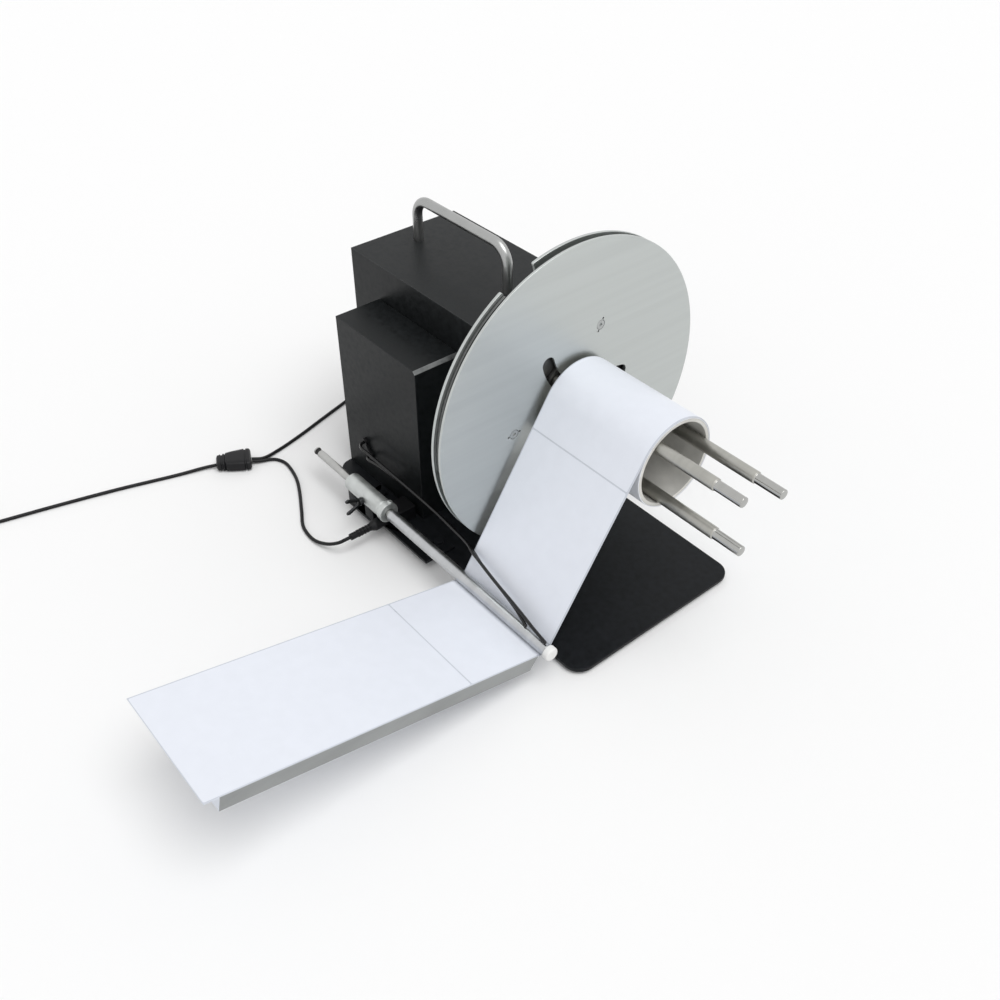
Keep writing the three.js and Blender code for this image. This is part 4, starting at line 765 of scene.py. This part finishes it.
def knob_shape():
    """A turned cap whose radius swells and sinks with the cosine of the angle times the flutes'
    number below its shoulder, so that fingers grip it."""
    rows = softened([(knob_bore, knob_deep), (knob_bore, 0), (knob_radius, 0),
                     (knob_radius, 2.2), (knob_radius - 1, knob_shoulder),
                     (knob_radius - 1.4, knob_long), (0, knob_long)], 0.7, 4, False)
    rows = np.vstack([[(0, knob_deep)], rows])
    rows[:, 1] = knob_right - rows[:, 1]
    points, faces = turned(rows, knob_centre, "x", 144)
    y, z = points[:, 1] - knob_centre[0], points[:, 2] - knob_centre[1]
    angle, radius = np.arctan2(z, y), np.hypot(y, z)
    below = np.clip((knob_right - knob_shoulder - points[:, 0]) / flute_start, 0, 1)
    below = below * (radius > knob_radius - 2.2)
    scale = 1 - flute_share * below * (0.5 - 0.5 * np.cos(flute_count * angle))
    points[:, 1] = knob_centre[0] + y * scale
    points[:, 2] = knob_centre[1] + z * scale
    return points, faces


skin("knob_cap", knob_shape(), "knob", "black_plastic", moulded, "torque_knob")
mark_y, mark_low, mark_high, mark_half = 20, 176, 181, 0.6
mark_face = knob_right - knob_long
mark_outline = softened([(mark_y - mark_half, mark_low), (mark_y + mark_half, mark_low),
                         (mark_y + mark_half, mark_high), (mark_y - mark_half, mark_high)], 0.3, 3)
skin("knob_pointer", plate([mark_outline], mark_face - 0.2, mark_face + 0.1, 0.1), "knob",
     "white_plastic", white_mark)
dressed("potentiometer", "torque_potentiometer", "frame", "satin_steel", machined, 0.2)
dressed("switch_frame", "switch_body", "frame", "black_plastic", moulded, 0.4)
dressed("rocker", "rocker_button", "rocker", "black_plastic", moulded, 0.6)
dressed("rear_socket", "power_socket_rear", "frame", "satin_steel", machined, 0.3)
dressed("front_socket", "power_socket_front", "frame", "black_plastic", moulded, 0.6)


# Discs on the spindle: front flange, adjuster and rear disc are cut from sheet aluminium, brushed
# and clear anodised. Slots in the flange let the three posts swing on arms behind it, and a notch
# in the rear disc shows the adjuster's rim, which a finger turns to spread or free the posts.
pivot_circle, arm_reach, slot_width = 70.0, 62.0, 13.5
pivot_angles = np.radians(66.5) + np.arange(3) * math.tau / 3
disc_radius, flange_thick = 150.0, 2.5
arm_high, arm_low = -2.9, -5.9
adjuster_high, adjuster_low = -6.3, -8.7
rear_high, rear_low = -9.1, -12.0
post_circle, slot_inner, slot_outer = 32.3, 13.2, 57.7
cam_ratio = 0.7


def arc_points(centre, radius, start, end, steps):
    """Points on a circle arc: centre + radius * (cos, sin)."""
    angle = np.linspace(start, end, steps)
    return np.column_stack([centre[0] + radius * np.cos(angle), centre[1] + radius * np.sin(angle)])


def circle(centre, radius, steps=40):
    """A closed circle without its doubled last point."""
    return arc_points(centre, radius, 0, math.tau, steps + 1)[:-1]


def on_circle(radius, angle):
    """A place on a circle about the spindle."""
    return np.array([radius * math.cos(angle), radius * math.sin(angle)])


def arm_swing(reached):
    """The arm's angle at its pivot when its post stands on the given circle, by the cosine rule."""
    squares = pivot_circle ** 2 + arm_reach ** 2 - reached ** 2
    return math.acos(squares / (2 * pivot_circle * arm_reach))


def post_slot(angle):
    """A slot with round ends along the arc that a post swings on."""
    pivot = on_circle(pivot_circle, angle)
    start, end = angle + math.pi - arm_swing(slot_outer), angle + math.pi - arm_swing(slot_inner)
    half = slot_width / 2
    first = pivot + arm_reach * np.array([math.cos(start), math.sin(start)])
    last = pivot + arm_reach * np.array([math.cos(end), math.sin(end)])
    return np.vstack([arc_points(pivot, arm_reach + half, start, end, 40)[:-1],
                      arc_points(last, half, end, end + math.pi, 16)[:-1],
                      arc_points(pivot, arm_reach - half, end, start, 40)[:-1],
                      arc_points(first, half, start + math.pi, start + math.tau, 16)[:-1]])


def upright(shape):
    """A stack piece, drawn about the spindle at height zero, lifted to the spindle's height."""
    return shape[0] + np.array([0, 0, axis_height]), shape[1]


brushed_disc = surface("brushed_disc", (0.52, 0.545, 0.535), 0.36, metallic=0.92,
                       stretch=(1, 0.02, 1), scale=1400, tone=0.035, rough_tone=0.05, bump=0.06,
                       depth=0.00002)
satin_plate = surface("satin_plate", (0.17, 0.172, 0.17), 0.4, metallic=1.0, stretch=(1, 1, 0.03),
                      scale=900, tone=0.06, bump=0.06)
disc_edge = 0.35
screw_head, screw_shank, hole_gap, dimple_apart, dimple_radius = 4.6, 3.0, 0.3, 6.2, 1.0
flange_loops = [circle((0, 0), disc_radius, 320)]
for angle in pivot_angles:
    flange_loops.append(post_slot(angle))
    flange_loops.append(circle(on_circle(pivot_circle, angle), screw_head + 0.1, 36))
    for side in (-dimple_apart, dimple_apart):
        flange_loops.append(circle(on_circle(pivot_circle + side, angle), dimple_radius, 16))
skin("flange_disc", upright(plate(flange_loops, -flange_thick, 0, disc_edge)), "spindle",
     "brushed_disc", brushed_disc, "front_flange")

notch_start, notch_end = math.radians(107), math.radians(120.5)
notch_depth, notch_corner = 16.0, 3.5
shaft_radius = 6.0
shaft_hole = circle((0, 0), shaft_radius + hole_gap, 48)


def rear_outline():
    """The rear disc's rim, cut down to a smaller radius over the notch, with rounded corners."""
    floor = disc_radius - notch_depth
    rim = arc_points((0, 0), disc_radius, notch_end, notch_start + math.tau, 300)
    bottom = arc_points((0, 0), floor, notch_start, notch_end, 16)
    return softened(np.vstack([rim, bottom]), notch_corner, 8, True, 40)


pivot_holes = [circle(on_circle(pivot_circle, angle), screw_shank + hole_gap, 24)
               for angle in pivot_angles]
rear_loops = [rear_outline(), shaft_hole, *pivot_holes]
skin("rear_plate", upright(plate(rear_loops, rear_low, rear_high, disc_edge)), "spindle",
     "brushed_disc", brushed_disc, "rear_disc")

grip_radius, grip_waist, cam_edge, cam_half = 147.0, 88.0, 66.3, 3.3
adjuster_corner, adjuster_edge = 1.5, 0.3
grip_start, grip_end = math.radians(120.5), math.radians(186)
neck_start, neck_end = math.radians(123.5), math.radians(153.5)


def cam_slot(angle):
    """The path of an arm's pin seen from the adjuster, which turns by the arm's angle over the
    ratio, offset to both sides along its normal and closed by round ends."""
    swing = np.linspace(arm_swing(slot_outer), arm_swing(slot_inner), 40)
    heading = math.pi - swing
    pin_x, pin_y = pivot_circle + arm_reach * np.cos(heading), arm_reach * np.sin(heading)
    turn = -(arm_swing(post_circle) - swing) / cam_ratio + angle
    path = np.column_stack([pin_x * np.cos(turn) - pin_y * np.sin(turn),
                            pin_x * np.sin(turn) + pin_y * np.cos(turn)])
    way = np.gradient(path, axis=0)
    way /= np.linalg.norm(way, axis=1)[:, None]
    side = np.column_stack([way[:, 1], -way[:, 0]]) * cam_half
    tip, foot = math.atan2(way[-1, 1], way[-1, 0]), math.atan2(way[0, 1], way[0, 0])
    quarter = math.pi / 2
    return np.vstack([
        path + side, arc_points(path[-1], cam_half, tip - quarter, tip + quarter, 12)[1:-1],
        (path - side)[::-1],
        arc_points(path[0], cam_half, foot + quarter, foot + 3 * quarter, 12)[1:-1]])


adjuster_outline = softened(np.vstack([
    arc_points((0, 0), cam_edge, neck_end, neck_start + math.tau, 160),
    [on_circle(grip_waist, neck_start)],
    arc_points((0, 0), grip_radius, grip_start, grip_end, 60),
    [on_circle(grip_waist, grip_end)],
    arc_points((0, 0), grip_waist, grip_end, neck_end, 20)[1:]]), adjuster_corner, 5, True, 30)
adjuster_loops = [adjuster_outline, shaft_hole, *map(cam_slot, pivot_angles)]
skin("adjuster_disc", upright(plate(adjuster_loops, adjuster_low, adjuster_high, adjuster_edge)),
     "adjuster", "satin_steel", satin_plate, "adjuster_plate")


# Arms and posts: each post is a ground steel bar pressed through the end of an arm and turned down
# at its free end, where it is polished. Countersunk socket screws are the arms' pivots.
arm_eye, arm_tip, arm_edge, pin_seat = 9.0, 8.5, 0.3, 3.0
post_radius, post_body_end, post_tip_radius, post_tip_end = 5.5, 182.0, 4.6, 210.0
post_pin_radius, post_shoulder, post_taper, post_round = 3, -2.6, 0.9, 0.7
ground_steel = surface("ground_steel", (0.42, 0.415, 0.385), 0.36, metallic=1.0,
                       stretch=(1, 0.05, 0.05), scale=1300, tone=0.08, rough_tone=0.06, bump=0.08)
polished_tip = surface("polished_tip", (0.42, 0.42, 0.405), 0.14, metallic=1.0,
                       stretch=(1, 0.05, 0.05), scale=1300, tone=0.05, rough_tone=0.04, bump=0.03)
# The arms are painted near black: painted shade in the gap between the discs.
arm_painted_shade = surface("arm_painted_shade", (0.075, 0.075, 0.073), 0.42, metallic=0.8, scale=900,
                     tone=0.12, bump=0.1)
screw_steel = surface("screw_steel", (0.44, 0.455, 0.45), 0.38, metallic=0.95, scale=900,
                      tone=0.06, bump=0.06)
post_profile = softened([(0, adjuster_low), (post_pin_radius, adjuster_low),
                         (post_pin_radius, post_shoulder), (post_radius, post_shoulder),
                         (post_radius, post_body_end),
                         (post_tip_radius, post_body_end + post_taper),
                         (post_tip_radius, post_tip_end), (0, post_tip_end)],
                        post_round, 4, False)
swing_rest = arm_swing(post_circle)
arm_lean = math.asin((arm_eye - arm_tip) / arm_reach)
for number, angle in enumerate(pivot_angles, 1):
    pivot = on_circle(pivot_circle, angle)
    heading = angle + math.pi - swing_rest
    left, right = heading + math.pi / 2 - arm_lean, heading - math.pi / 2 + arm_lean
    tip = pivot + on_circle(arm_reach, heading)
    outline = np.vstack([arc_points(tip, arm_tip, right, left, 30),
                         arc_points(pivot, arm_eye, left, right + math.tau, 30)])
    arm_loops = [outline, pivot_holes[number - 1], circle(tip, pin_seat + hole_gap, 24)]
    skin(f"arm_bar_{number}", upright(plate(arm_loops, arm_low, arm_high, arm_edge)),
         f"arm_{number}", "satin_steel", arm_painted_shade, f"swing_arm_{number}")
    post = skin(f"post_bar_{number}", upright(turned(post_profile, tip, "x", 48)), f"arm_{number}",
                "satin_steel", ground_steel, f"roll_post_{number}")
    tip_start = face_x + (post_body_end + 0.5) * mm
    refinished(post, [polished_tip], face_values(post, "center")[:, 0] > tip_start)

socket_radius, socket_deep, socket_flat, screw_sunk = 1.75, -1.5, 0.95, -0.15


def screw_shape(centre):
    """A turned countersunk head on its shank; the socket's rings are pulled from a circle to a
    hexagon by the secant of the angle from the nearest flat's middle."""
    rows = softened([(0, socket_deep), (socket_radius, socket_deep), (socket_radius, screw_sunk),
                     (screw_head, screw_sunk), (screw_shank, socket_deep),
                     (screw_shank, rear_low), (0, rear_low)], 0.15, 3, False)
    points, faces = turned(rows, (0, 0), "x", 48)
    angle, radius = np.arctan2(points[:, 2], points[:, 1]), np.hypot(points[:, 1], points[:, 2])
    flat = np.abs((angle + math.pi / 6) % (math.pi / 3) - math.pi / 6)
    in_socket = (radius < socket_radius + 0.25) & (points[:, 0] > socket_deep - 0.5)
    scale = np.where(in_socket, socket_flat / np.cos(flat), 1)
    points[:, 1] = centre[0] + points[:, 1] * scale
    points[:, 2] = centre[1] + points[:, 2] * scale
    return points, faces


for number, angle in enumerate(pivot_angles, 1):
    skin(f"pivot_bolt_{number}", upright(screw_shape(on_circle(pivot_circle, angle))), "spindle",
         "bright_steel", screw_steel, f"pivot_screw_{number}")


# Spindle: ground steel shaft that turns in the housing's two bearings, and the turned hub on it
# that carries the rear disc.
def ring(points, radius, steps=5):
    """A closed section for turning, with rounded corners: it returns to its first row."""
    rows = softened(points, radius, steps)
    return np.vstack([rows, rows[:1]])


shaft_back, shaft_front = -150, -9
hub_back, hub_step, hub_front, hub_radius, hub_flange = -29.2, -19.2, -12.2, 13, 28
shaft_profile = softened([(0, shaft_back), (shaft_radius, shaft_back),
                          (shaft_radius, shaft_front), (0, shaft_front)], 0.6, 4, False)
skin("shaft", upright(turned(shaft_profile, (0, 0))), "spindle", "bright_steel", bright,
     "spindle_shaft")
hub_profile = ring([(shaft_radius + hole_gap, hub_back), (hub_radius, hub_back),
                    (hub_radius, hub_step), (hub_flange, hub_step), (hub_flange, hub_front),
                    (shaft_radius + hole_gap, hub_front)], 0.6)
skin("hub", upright(turned(hub_profile, (0, 0))), "spindle", "brushed_bar", machined,
     "spindle_hub")


# Core and roll: a grey card core of 76.2 mm bore on the posts, and the labels wound on it. Its end
# shows the turns of paper as fine rings.
def winding_group():
    """Rings about the spindle: the sine of the distance from its axis over the turns' spacing."""
    tree, given = effect("wound_turns", {"Turn": "Float", "Axis": "Vector"}, ["Line"])
    where = add_node(tree, "TexCoord").outputs["Object"]
    away = add_node(tree, "VectorMath", {0: where, 1: given["Axis"]},
                    operation="SUBTRACT").outputs[0]
    across = add_node(tree, "VectorMath", {0: away, 1: (0, 1, 1)}, operation="MULTIPLY").outputs[0]
    far = add_node(tree, "VectorMath", {0: across}, operation="LENGTH").outputs["Value"]
    count = add_node(tree, "Math", {0: far, 1: given["Turn"]}, operation="DIVIDE").outputs[0]
    wave = add_node(tree, "Math", {0: count}, operation="SINE").outputs[0]
    feed(tree, tree.nodes.new("NodeGroupOutput"), {"Line": wave})
    return tree


wound_turns = winding_group()
ring_shade = (0.45, 0.45, 0.45)


def wound(name, colour, roughness, turn, shade, **grain):
    """Paper or card whose end face shows its turns, so many millimetres thick, as darker rings."""
    paint = surface(name, colour, roughness, **grain)
    tree = paint.node_tree
    rings = add_node(tree, "Group", {"Turn": turn * mm / math.tau, "Axis": (0, axis_y, axis_z)},
                     node_tree=wound_turns)
    line = add_node(tree, "MapRange", {"Value": rings.outputs["Line"], "From Min": 0.3,
                                       "From Max": 1.0, "To Max": shade})
    overlaid(paint, line.outputs["Result"], ring_shade, "MULTIPLY")
    return paint


strip_left, strip_right = 5.1, 122.4
core_bore, core_outer, roll_inner, roll_outer = 38.1, 41.1, 41.2, 42.1
core_edge, roll_edge = 0.5, 0.12
card = wound("core_card", (0.72, 0.71, 0.67), 0.7, 0.55, 0.5, scale=500, tone=0.12, bump=0.25)
# The roll's paper is a lighter copy of the strip's paper: painted light on the roll.
roll_paper_painted_light = wound("roll_paper_painted_light", (0.86, 0.88, 0.92), 0.55, 0.22, 0.35, scale=900, tone=0.015,
                   bump=0.05)
core_profile = ring([(core_bore, strip_left), (core_outer, strip_left), (core_outer, strip_right),
                     (core_bore, strip_right)], core_edge, 3)
skin("card_core", upright(turned(core_profile, (0, 0), "x", 128)), "spindle", "core_card", card,
     "roll_core")
roll_profile = ring([(roll_inner, strip_left), (roll_outer, strip_left), (roll_outer, strip_right),
                     (roll_inner, strip_right)], roll_edge, 3)
skin("wound_labels", upright(turned(roll_profile, (0, 0), "x", 160)), "spindle", "label_paper",
     roll_paper_painted_light, "label_roll")


# Strip of labels: a glossy liner with thin labels on it, fed in from a printer on the left, round
# under the roller, up to the roll and on over it as its outer turn. The near edge of the liner is
# folded down beside the feed, and the lip's side faces are painted a darker grey as painted shade.
guide_y, guide_z = -138.8, 33.4
strip_inner, strip_outer = 6.0, 6.4
strip_middle = (strip_inner + strip_outer) / 2
feed_rise, feed_long = 0.2234, 312.0
turn_radius, turn_degrees = 42.6, 230
roll_far = math.hypot(guide_y, axis_height - guide_z)
climb = (math.atan2(axis_height - guide_z, -guide_y)
         + math.asin((turn_radius + strip_middle) / roll_far))
climb_long = math.sqrt(roll_far ** 2 - (turn_radius + strip_middle) ** 2)
bend_start, bend_end = -math.pi / 2 - feed_rise, climb - math.pi / 2
bend_long = strip_middle * (bend_end - bend_start)
roll_meets = bend_long + climb_long
strip_end = roll_meets + turn_radius * math.radians(turn_degrees)
liner_thick, liner_overlap = 0.24, 0.02
lip_depth, lip_inset, lip_taper, lip_bend = 13.4, 8.0, 4.0, 1.2
label_gaps, gap_half = (-feed_long, -77.5, bend_long + 150), 0.7
label_margin, label_corner, label_lip = 1.2, 1.5, 0.4
run_step, bend_steps, turn_step = 6.0, 19, 1.5
paper = surface("label_paper", (0.80, 0.83, 0.90), 0.34, scale=700, tone=0.012, rough_tone=0.03,
                bump=0.04)
liner = surface("label_liner", (0.60, 0.63, 0.69), 0.3, scale=700, tone=0.02, rough_tone=0.03,
                bump=0.04)
# The folded lip takes a darker grey copy of the liner: painted shade on its side faces.
lip_painted_shade = surface("folded_liner_painted_shade", (0.27, 0.28, 0.28), 0.4, stretch=(1, 0.3, 1), scale=420,
                 tone=0.12, bump=0.1)


def strip_place(far, x, offset):
    """A place on the strip, far along it from where the feed meets the roller: the roller's axis +
    the offset across the strip + the straight run before or past the bend. Past the rising run it
    is on a circle about the spindle, and the offset counts towards the spindle."""
    far, x, offset = np.broadcast_arrays(far, x, offset)
    angle = bend_start + np.clip(far / bend_long, 0, 1) * (bend_end - bend_start)
    before, past = np.minimum(far, 0), np.maximum(far - bend_long, 0)
    y = guide_y + offset * np.cos(angle) + before * math.cos(feed_rise) + past * math.cos(climb)
    z = guide_z + offset * np.sin(angle) - before * math.sin(feed_rise) + past * math.sin(climb)
    around = bend_end + math.pi - (far - roll_meets) / turn_radius
    radius = turn_radius + strip_middle - offset
    wound_on = far > roll_meets
    y = np.where(wound_on, radius * np.cos(around), y)
    z = np.where(wound_on, axis_height + radius * np.sin(around), z)
    return np.stack([x, y, z], axis=-1)


def strip_steps(start, end, *extra):
    """Distances along the strip, close together round the bends and wider on the runs."""
    runs = np.concatenate([np.arange(-feed_long, 0, run_step),
                           np.linspace(0, bend_long, bend_steps),
                           np.arange(bend_long + run_step, roll_meets - 1, run_step),
                           np.arange(roll_meets, strip_end, turn_step), *extra])
    inside = runs[(runs > start + 0.05) & (runs < end - 0.05)]
    return np.concatenate([[start], np.unique(inside), [end]])


far = strip_steps(-feed_long, strip_end)
ramp = np.clip(np.minimum(-lip_inset - far, far + feed_long - lip_inset) / lip_taper, 0, 1)
ramp = ramp ** 2 * (3 - 2 * ramp)
depth = (liner_thick + liner_overlap + (lip_depth - liner_thick) * ramp)[:, None]
bend = np.minimum(depth - 0.01, lip_bend)
turn = np.linspace(0, math.pi / 2, 6)
liner_top = strip_outer - liner_thick
each = np.ones_like(depth)
inside_x = strip_right - bend + (bend - liner_thick) * np.sin(turn)
inside_offset = liner_top + bend - (bend - liner_thick) * np.cos(turn)
liner_x = np.hstack([each * strip_left, strip_right - bend * (1 - np.sin(turn)),
                     each * strip_right, each * (strip_right - liner_thick),
                     inside_x[:, ::-1], each * strip_left])
liner_offset = np.hstack([each * liner_top, liner_top + bend * (1 - np.cos(turn)),
                          liner_top + depth, liner_top + depth,
                          inside_offset[:, ::-1], each * strip_outer])
liner_shape = lofted(strip_place(far[:, None], liner_x, liner_offset))
label_shapes = []
near_ends = np.array([0.15, 0.4, 0.7, 1.1, label_corner])
for start, end in zip(label_gaps, (*label_gaps[1:], strip_end + gap_half)):
    start, end = start + gap_half, end - gap_half
    step = strip_steps(start, end, start + near_ends, end - near_ends)
    into = np.clip(label_corner - np.minimum(step - start, end - step), 0, label_corner)
    inset = (label_margin + label_corner - np.sqrt(label_corner ** 2 - into ** 2))[:, None]
    near, off = strip_left + inset, strip_right - inset - label_lip
    under = liner_top + liner_overlap
    label_offset = np.array([[under, under, strip_inner, strip_inner]])
    label_shapes.append(lofted(strip_place(step[:, None], np.hstack([near, off, off, near]),
                                           label_offset)))
web = skin("label_web", joined(liner_shape, *label_shapes), "frame", "label_paper", paper,
           "label_strip")
around = liner_x.shape[1]
side = np.arange(len(liner_shape[1]) - 2)
row, column = side // around, side % around
kind = np.zeros(len(web.data.polygons), np.int32)
kind[:len(side) + 2] = 1
# The lip's outer faces take the darker copy of the liner: painted shade.
kind[side[(column > 2) & (column < 12) & (ramp[row] > 0)]] = 2
refinished(web, [liner, lip_painted_shade], kind)


# Feeler wires: two bent rods of glossy black steel that start in small printed bushes at the low
# housing. They reach along the guide bar and lie over the strip with their tips by the roller.
wire_radius = 1.5
wire_black = surface("wire_black", (0.006, 0.006, 0.0065), 0.22, scale=600, tone=0.15, bump=0.06,
                     specular=0.4)
feeler_routes = {
    "outer": [[-193, -100.5, 50], [-193, -105.6, 50], [-191.5, -109.5, 50.4], [-186, -113.5, 51.5],
              [-172, -114.5, 52.5], [-130, -115, 52.5], [-60, -116, 52], [-34, -118, 52.3],
              [-4, -122, 54.5], [9, -126.5, 56.8], [27, -129.5, 55.5], [49, -132, 52],
              [72, -134, 48.8], [89, -135.5, 46], [108, -137.5, 43], [124, -138.8, 40.9]],
    "inner": [[-184, -100.5, 38], [-184, -105.6, 38], [-182.5, -108.5, 38.6], [-177, -111.6, 40.3],
              [-166, -112, 43], [-148, -112, 45.5], [-118, -112, 46.5], [-60, -112.5, 46.5],
              [-34, -114.5, 47], [-4, -119.5, 50], [9, -123.4, 52.6], [24, -127, 51.5],
              [45, -129.5, 48.6], [65, -132, 46], [79, -134, 43.8], [88, -136, 42.3],
              [99, -138.8, 40.9]]}
wire_steps, wire_spacing, wire_sides = 16, 2.2, 16
for name, route in feeler_routes.items():
    line = resampled(np.vstack([route[0], smooth_line(route[1:], wire_steps)]), wire_spacing)
    way = (line[-1] - line[-2]) / np.linalg.norm(line[-1] - line[-2])
    tip = wire_radius * np.sin(np.linspace(0, math.pi / 2, 7)[:-1])
    line = np.vstack([line[:-1], line[-1] - way * wire_radius + np.outer(tip, way)])
    radius = np.full(len(line), wire_radius)
    radius[-len(tip):] = np.sqrt(wire_radius ** 2 - tip ** 2)
    skin(f"feeler_rod_{name}", swept(line, radius, wire_sides), "frame", "black_plastic",
         wire_black, f"feeler_wire_{name}")
dressed("feeler_bushes", "feeler_bush_plate", "frame", "black_plastic", moulded, 0.4)


# Guide bracket: folded steel under the bar, coated like the base and screwed to it. Two saddles
# carry the clamp sleeve.
dressed("guide_bracket_plate", "guide_bracket", "frame", "base_coat", base_coat, 0.4)


# Clamp sleeve: light aluminium tube with a collar and a pinch screw at its right end, on the
# saddles. The guide rod slides in it.
sleeve_radius, collar_radius, sleeve_bore, sleeve_step = 9.2, 10.4, 4.3, 0.8
sleeve_left, collar_left, collar_right = -167.0, -109.0, -103.0
pinch_radius, pinch_low, pinch_high, pinch_turn = 2.4, 8, 12, -20
cast_light = surface("cast_aluminium", (0.56, 0.58, 0.57), 0.45, metallic=0.85, scale=900,
                     tone=0.1, bump=0.25)
sleeve_rows = ring([(sleeve_bore, sleeve_left), (sleeve_radius - sleeve_step, sleeve_left),
                    (sleeve_radius, sleeve_left + 2 * sleeve_step),
                    (sleeve_radius, collar_left - 3),
                    (sleeve_radius - sleeve_step, collar_left - 3 + sleeve_step),
                    (sleeve_radius - sleeve_step, collar_left), (collar_radius, collar_left),
                    (collar_radius, collar_right), (sleeve_bore, collar_right)], 0.5, 3)
pinch_rows = softened([(0, pinch_low), (pinch_radius, pinch_low), (pinch_radius, pinch_high),
                       (0, pinch_high)], 0.5, 3, False)
pinch_place = Matrix.Translation(((collar_left + collar_right) / 2, guide_y, guide_z))
pinch_place = pinch_place @ Matrix.Rotation(math.radians(pinch_turn), 4, "X")
pinch_shape = moved(turned(pinch_rows, (0, 0), "z", 24), pinch_place)
skin("clamp_sleeve", joined(turned(sleeve_rows, (guide_y, guide_z), "x", 64), pinch_shape),
     "frame", "brushed_bar", cast_light, "guide_clamp_sleeve")


# Wing screw: blackened steel, a round head with a flat blade that spreads into two prongs. It is
# turned by hand to lock the rod in the sleeve.
wing_x, wing_foot, wing_head_start, wing_head_end = -135.0, 4.4, 9.6, 13.2
wing_shank, wing_head, wing_half, wing_edge = 2.5, 4, 1.1, 0.6
dark_steel = surface("dark_steel", (0.045, 0.046, 0.048), 0.32, metallic=0.9, scale=700,
                     tone=0.15, bump=0.1)
wing_rows = softened([(0, wing_foot), (wing_shank, wing_foot), (wing_shank, wing_head_start),
                      (wing_head, wing_head_start), (wing_head, wing_head_end),
                      (0, wing_head_end)], 0.6, 4, False)
wing_rows[:, 1] = guide_y - wing_rows[:, 1]
prong = np.array([(0, 10.8), (3.4, 10.8), (9.3, 25.4), (8.3, 28.7), (5.9, 27.8), (1.6, 14.6)])
prongs = softened(np.vstack([prong, prong[:0:-1] * np.array([-1, 1])]), 0.9, 4)
prongs = np.column_stack([guide_y - prongs[:, 1], guide_z + prongs[:, 0]])
wing_blade = plate([prongs], wing_x - wing_half, wing_x + wing_half, wing_edge)
skin("wing_head", joined(turned(wing_rows, (wing_x, guide_z), "y", 32), wing_blade),
     "clamp_screw", "bright_steel", dark_steel, "wing_screw")


# Guide bar: a ground steel rod with a drilled left end and a groove beside it, whose insides are
# painted near black as painted shade, the aluminium roller that spins on it, and a white moulded
# cap.
rod_radius, rod_left, rod_right, hole_radius, hole_deep = 4.0, -231.0, 126.3, 2.0, 8.0
groove_left, groove_right, groove_radius, groove_slope = -229.4, -224.0, 3.3, 0.4
painted_end_shade = surface("rod_end_painted_shade", (0.02, 0.02, 0.02), 0.6, metallic=0.5, scale=700, tone=0.2)
rod_rows = softened([(0, rod_left + hole_deep), (hole_radius, rod_left + hole_deep),
                     (hole_radius, rod_left + 1), (hole_radius + 0.9, rod_left),
                     (rod_radius, rod_left), (rod_radius, groove_left),
                     (groove_radius, groove_left + groove_slope),
                     (groove_radius, groove_right - groove_slope), (rod_radius, groove_right),
                     (rod_radius, rod_right), (0, rod_right)], 0.3, 3, False)
rod_metal = surface("rod_metal", (0.46, 0.46, 0.45), 0.34, metallic=1.0, stretch=(1, 0.05, 0.05),
                    scale=1300, tone=0.07, rough_tone=0.06, bump=0.06)
rod = skin("guide_rod_bar", turned(rod_rows, (guide_y, guide_z), "x", 48), "guide_bar",
           "satin_steel", rod_metal, "guide_rod")
# The drilled hole and the groove are painted near black: painted shade in these recesses.
centre = face_values(rod, "center")
off_axis = np.hypot(centre[:, 1] - (guide_y * mm + axis_y), centre[:, 2] - guide_z * mm)
in_end = centre[:, 0] < face_x + (rod_left + hole_deep + 2) * mm
refinished(rod, [painted_end_shade], (off_axis < (groove_radius + groove_slope) * mm) & in_end)

roller_bore, roller_radius, roller_left, roller_right = 4.3, 5.7, -99, 126
roller_metal = surface("roller_metal", (0.50, 0.51, 0.52), 0.34, metallic=1.0,
                       stretch=(1, 0.05, 0.05), scale=1300, tone=0.07, rough_tone=0.06, bump=0.06)
roller_rows = ring([(roller_bore, roller_left), (roller_radius, roller_left),
                    (roller_radius, roller_right), (roller_bore, roller_right)], 0.35, 3)
skin("spinning_roller", turned(roller_rows, (guide_y, guide_z), "x", 64), "roller",
     "brushed_bar", roller_metal, "guide_roller")

cap_radius, cap_left, cap_right, cap_dome = 6.6, 126.6, 132.6, 2.2
cap_white = surface("cap_white", (0.80, 0.80, 0.79), 0.45, scale=700, tone=0.03, bump=0.08)
cap_rows = softened([(0, cap_left), (cap_radius, cap_left), (cap_radius, cap_right),
                     (0, cap_right)], [0, 0.3, cap_dome, 0], 6, False)
skin("white_end_cap", turned(cap_rows, (guide_y, guide_z), "x", 64), "guide_bar", "white_plastic",
     cap_white, "roller_end_cap")
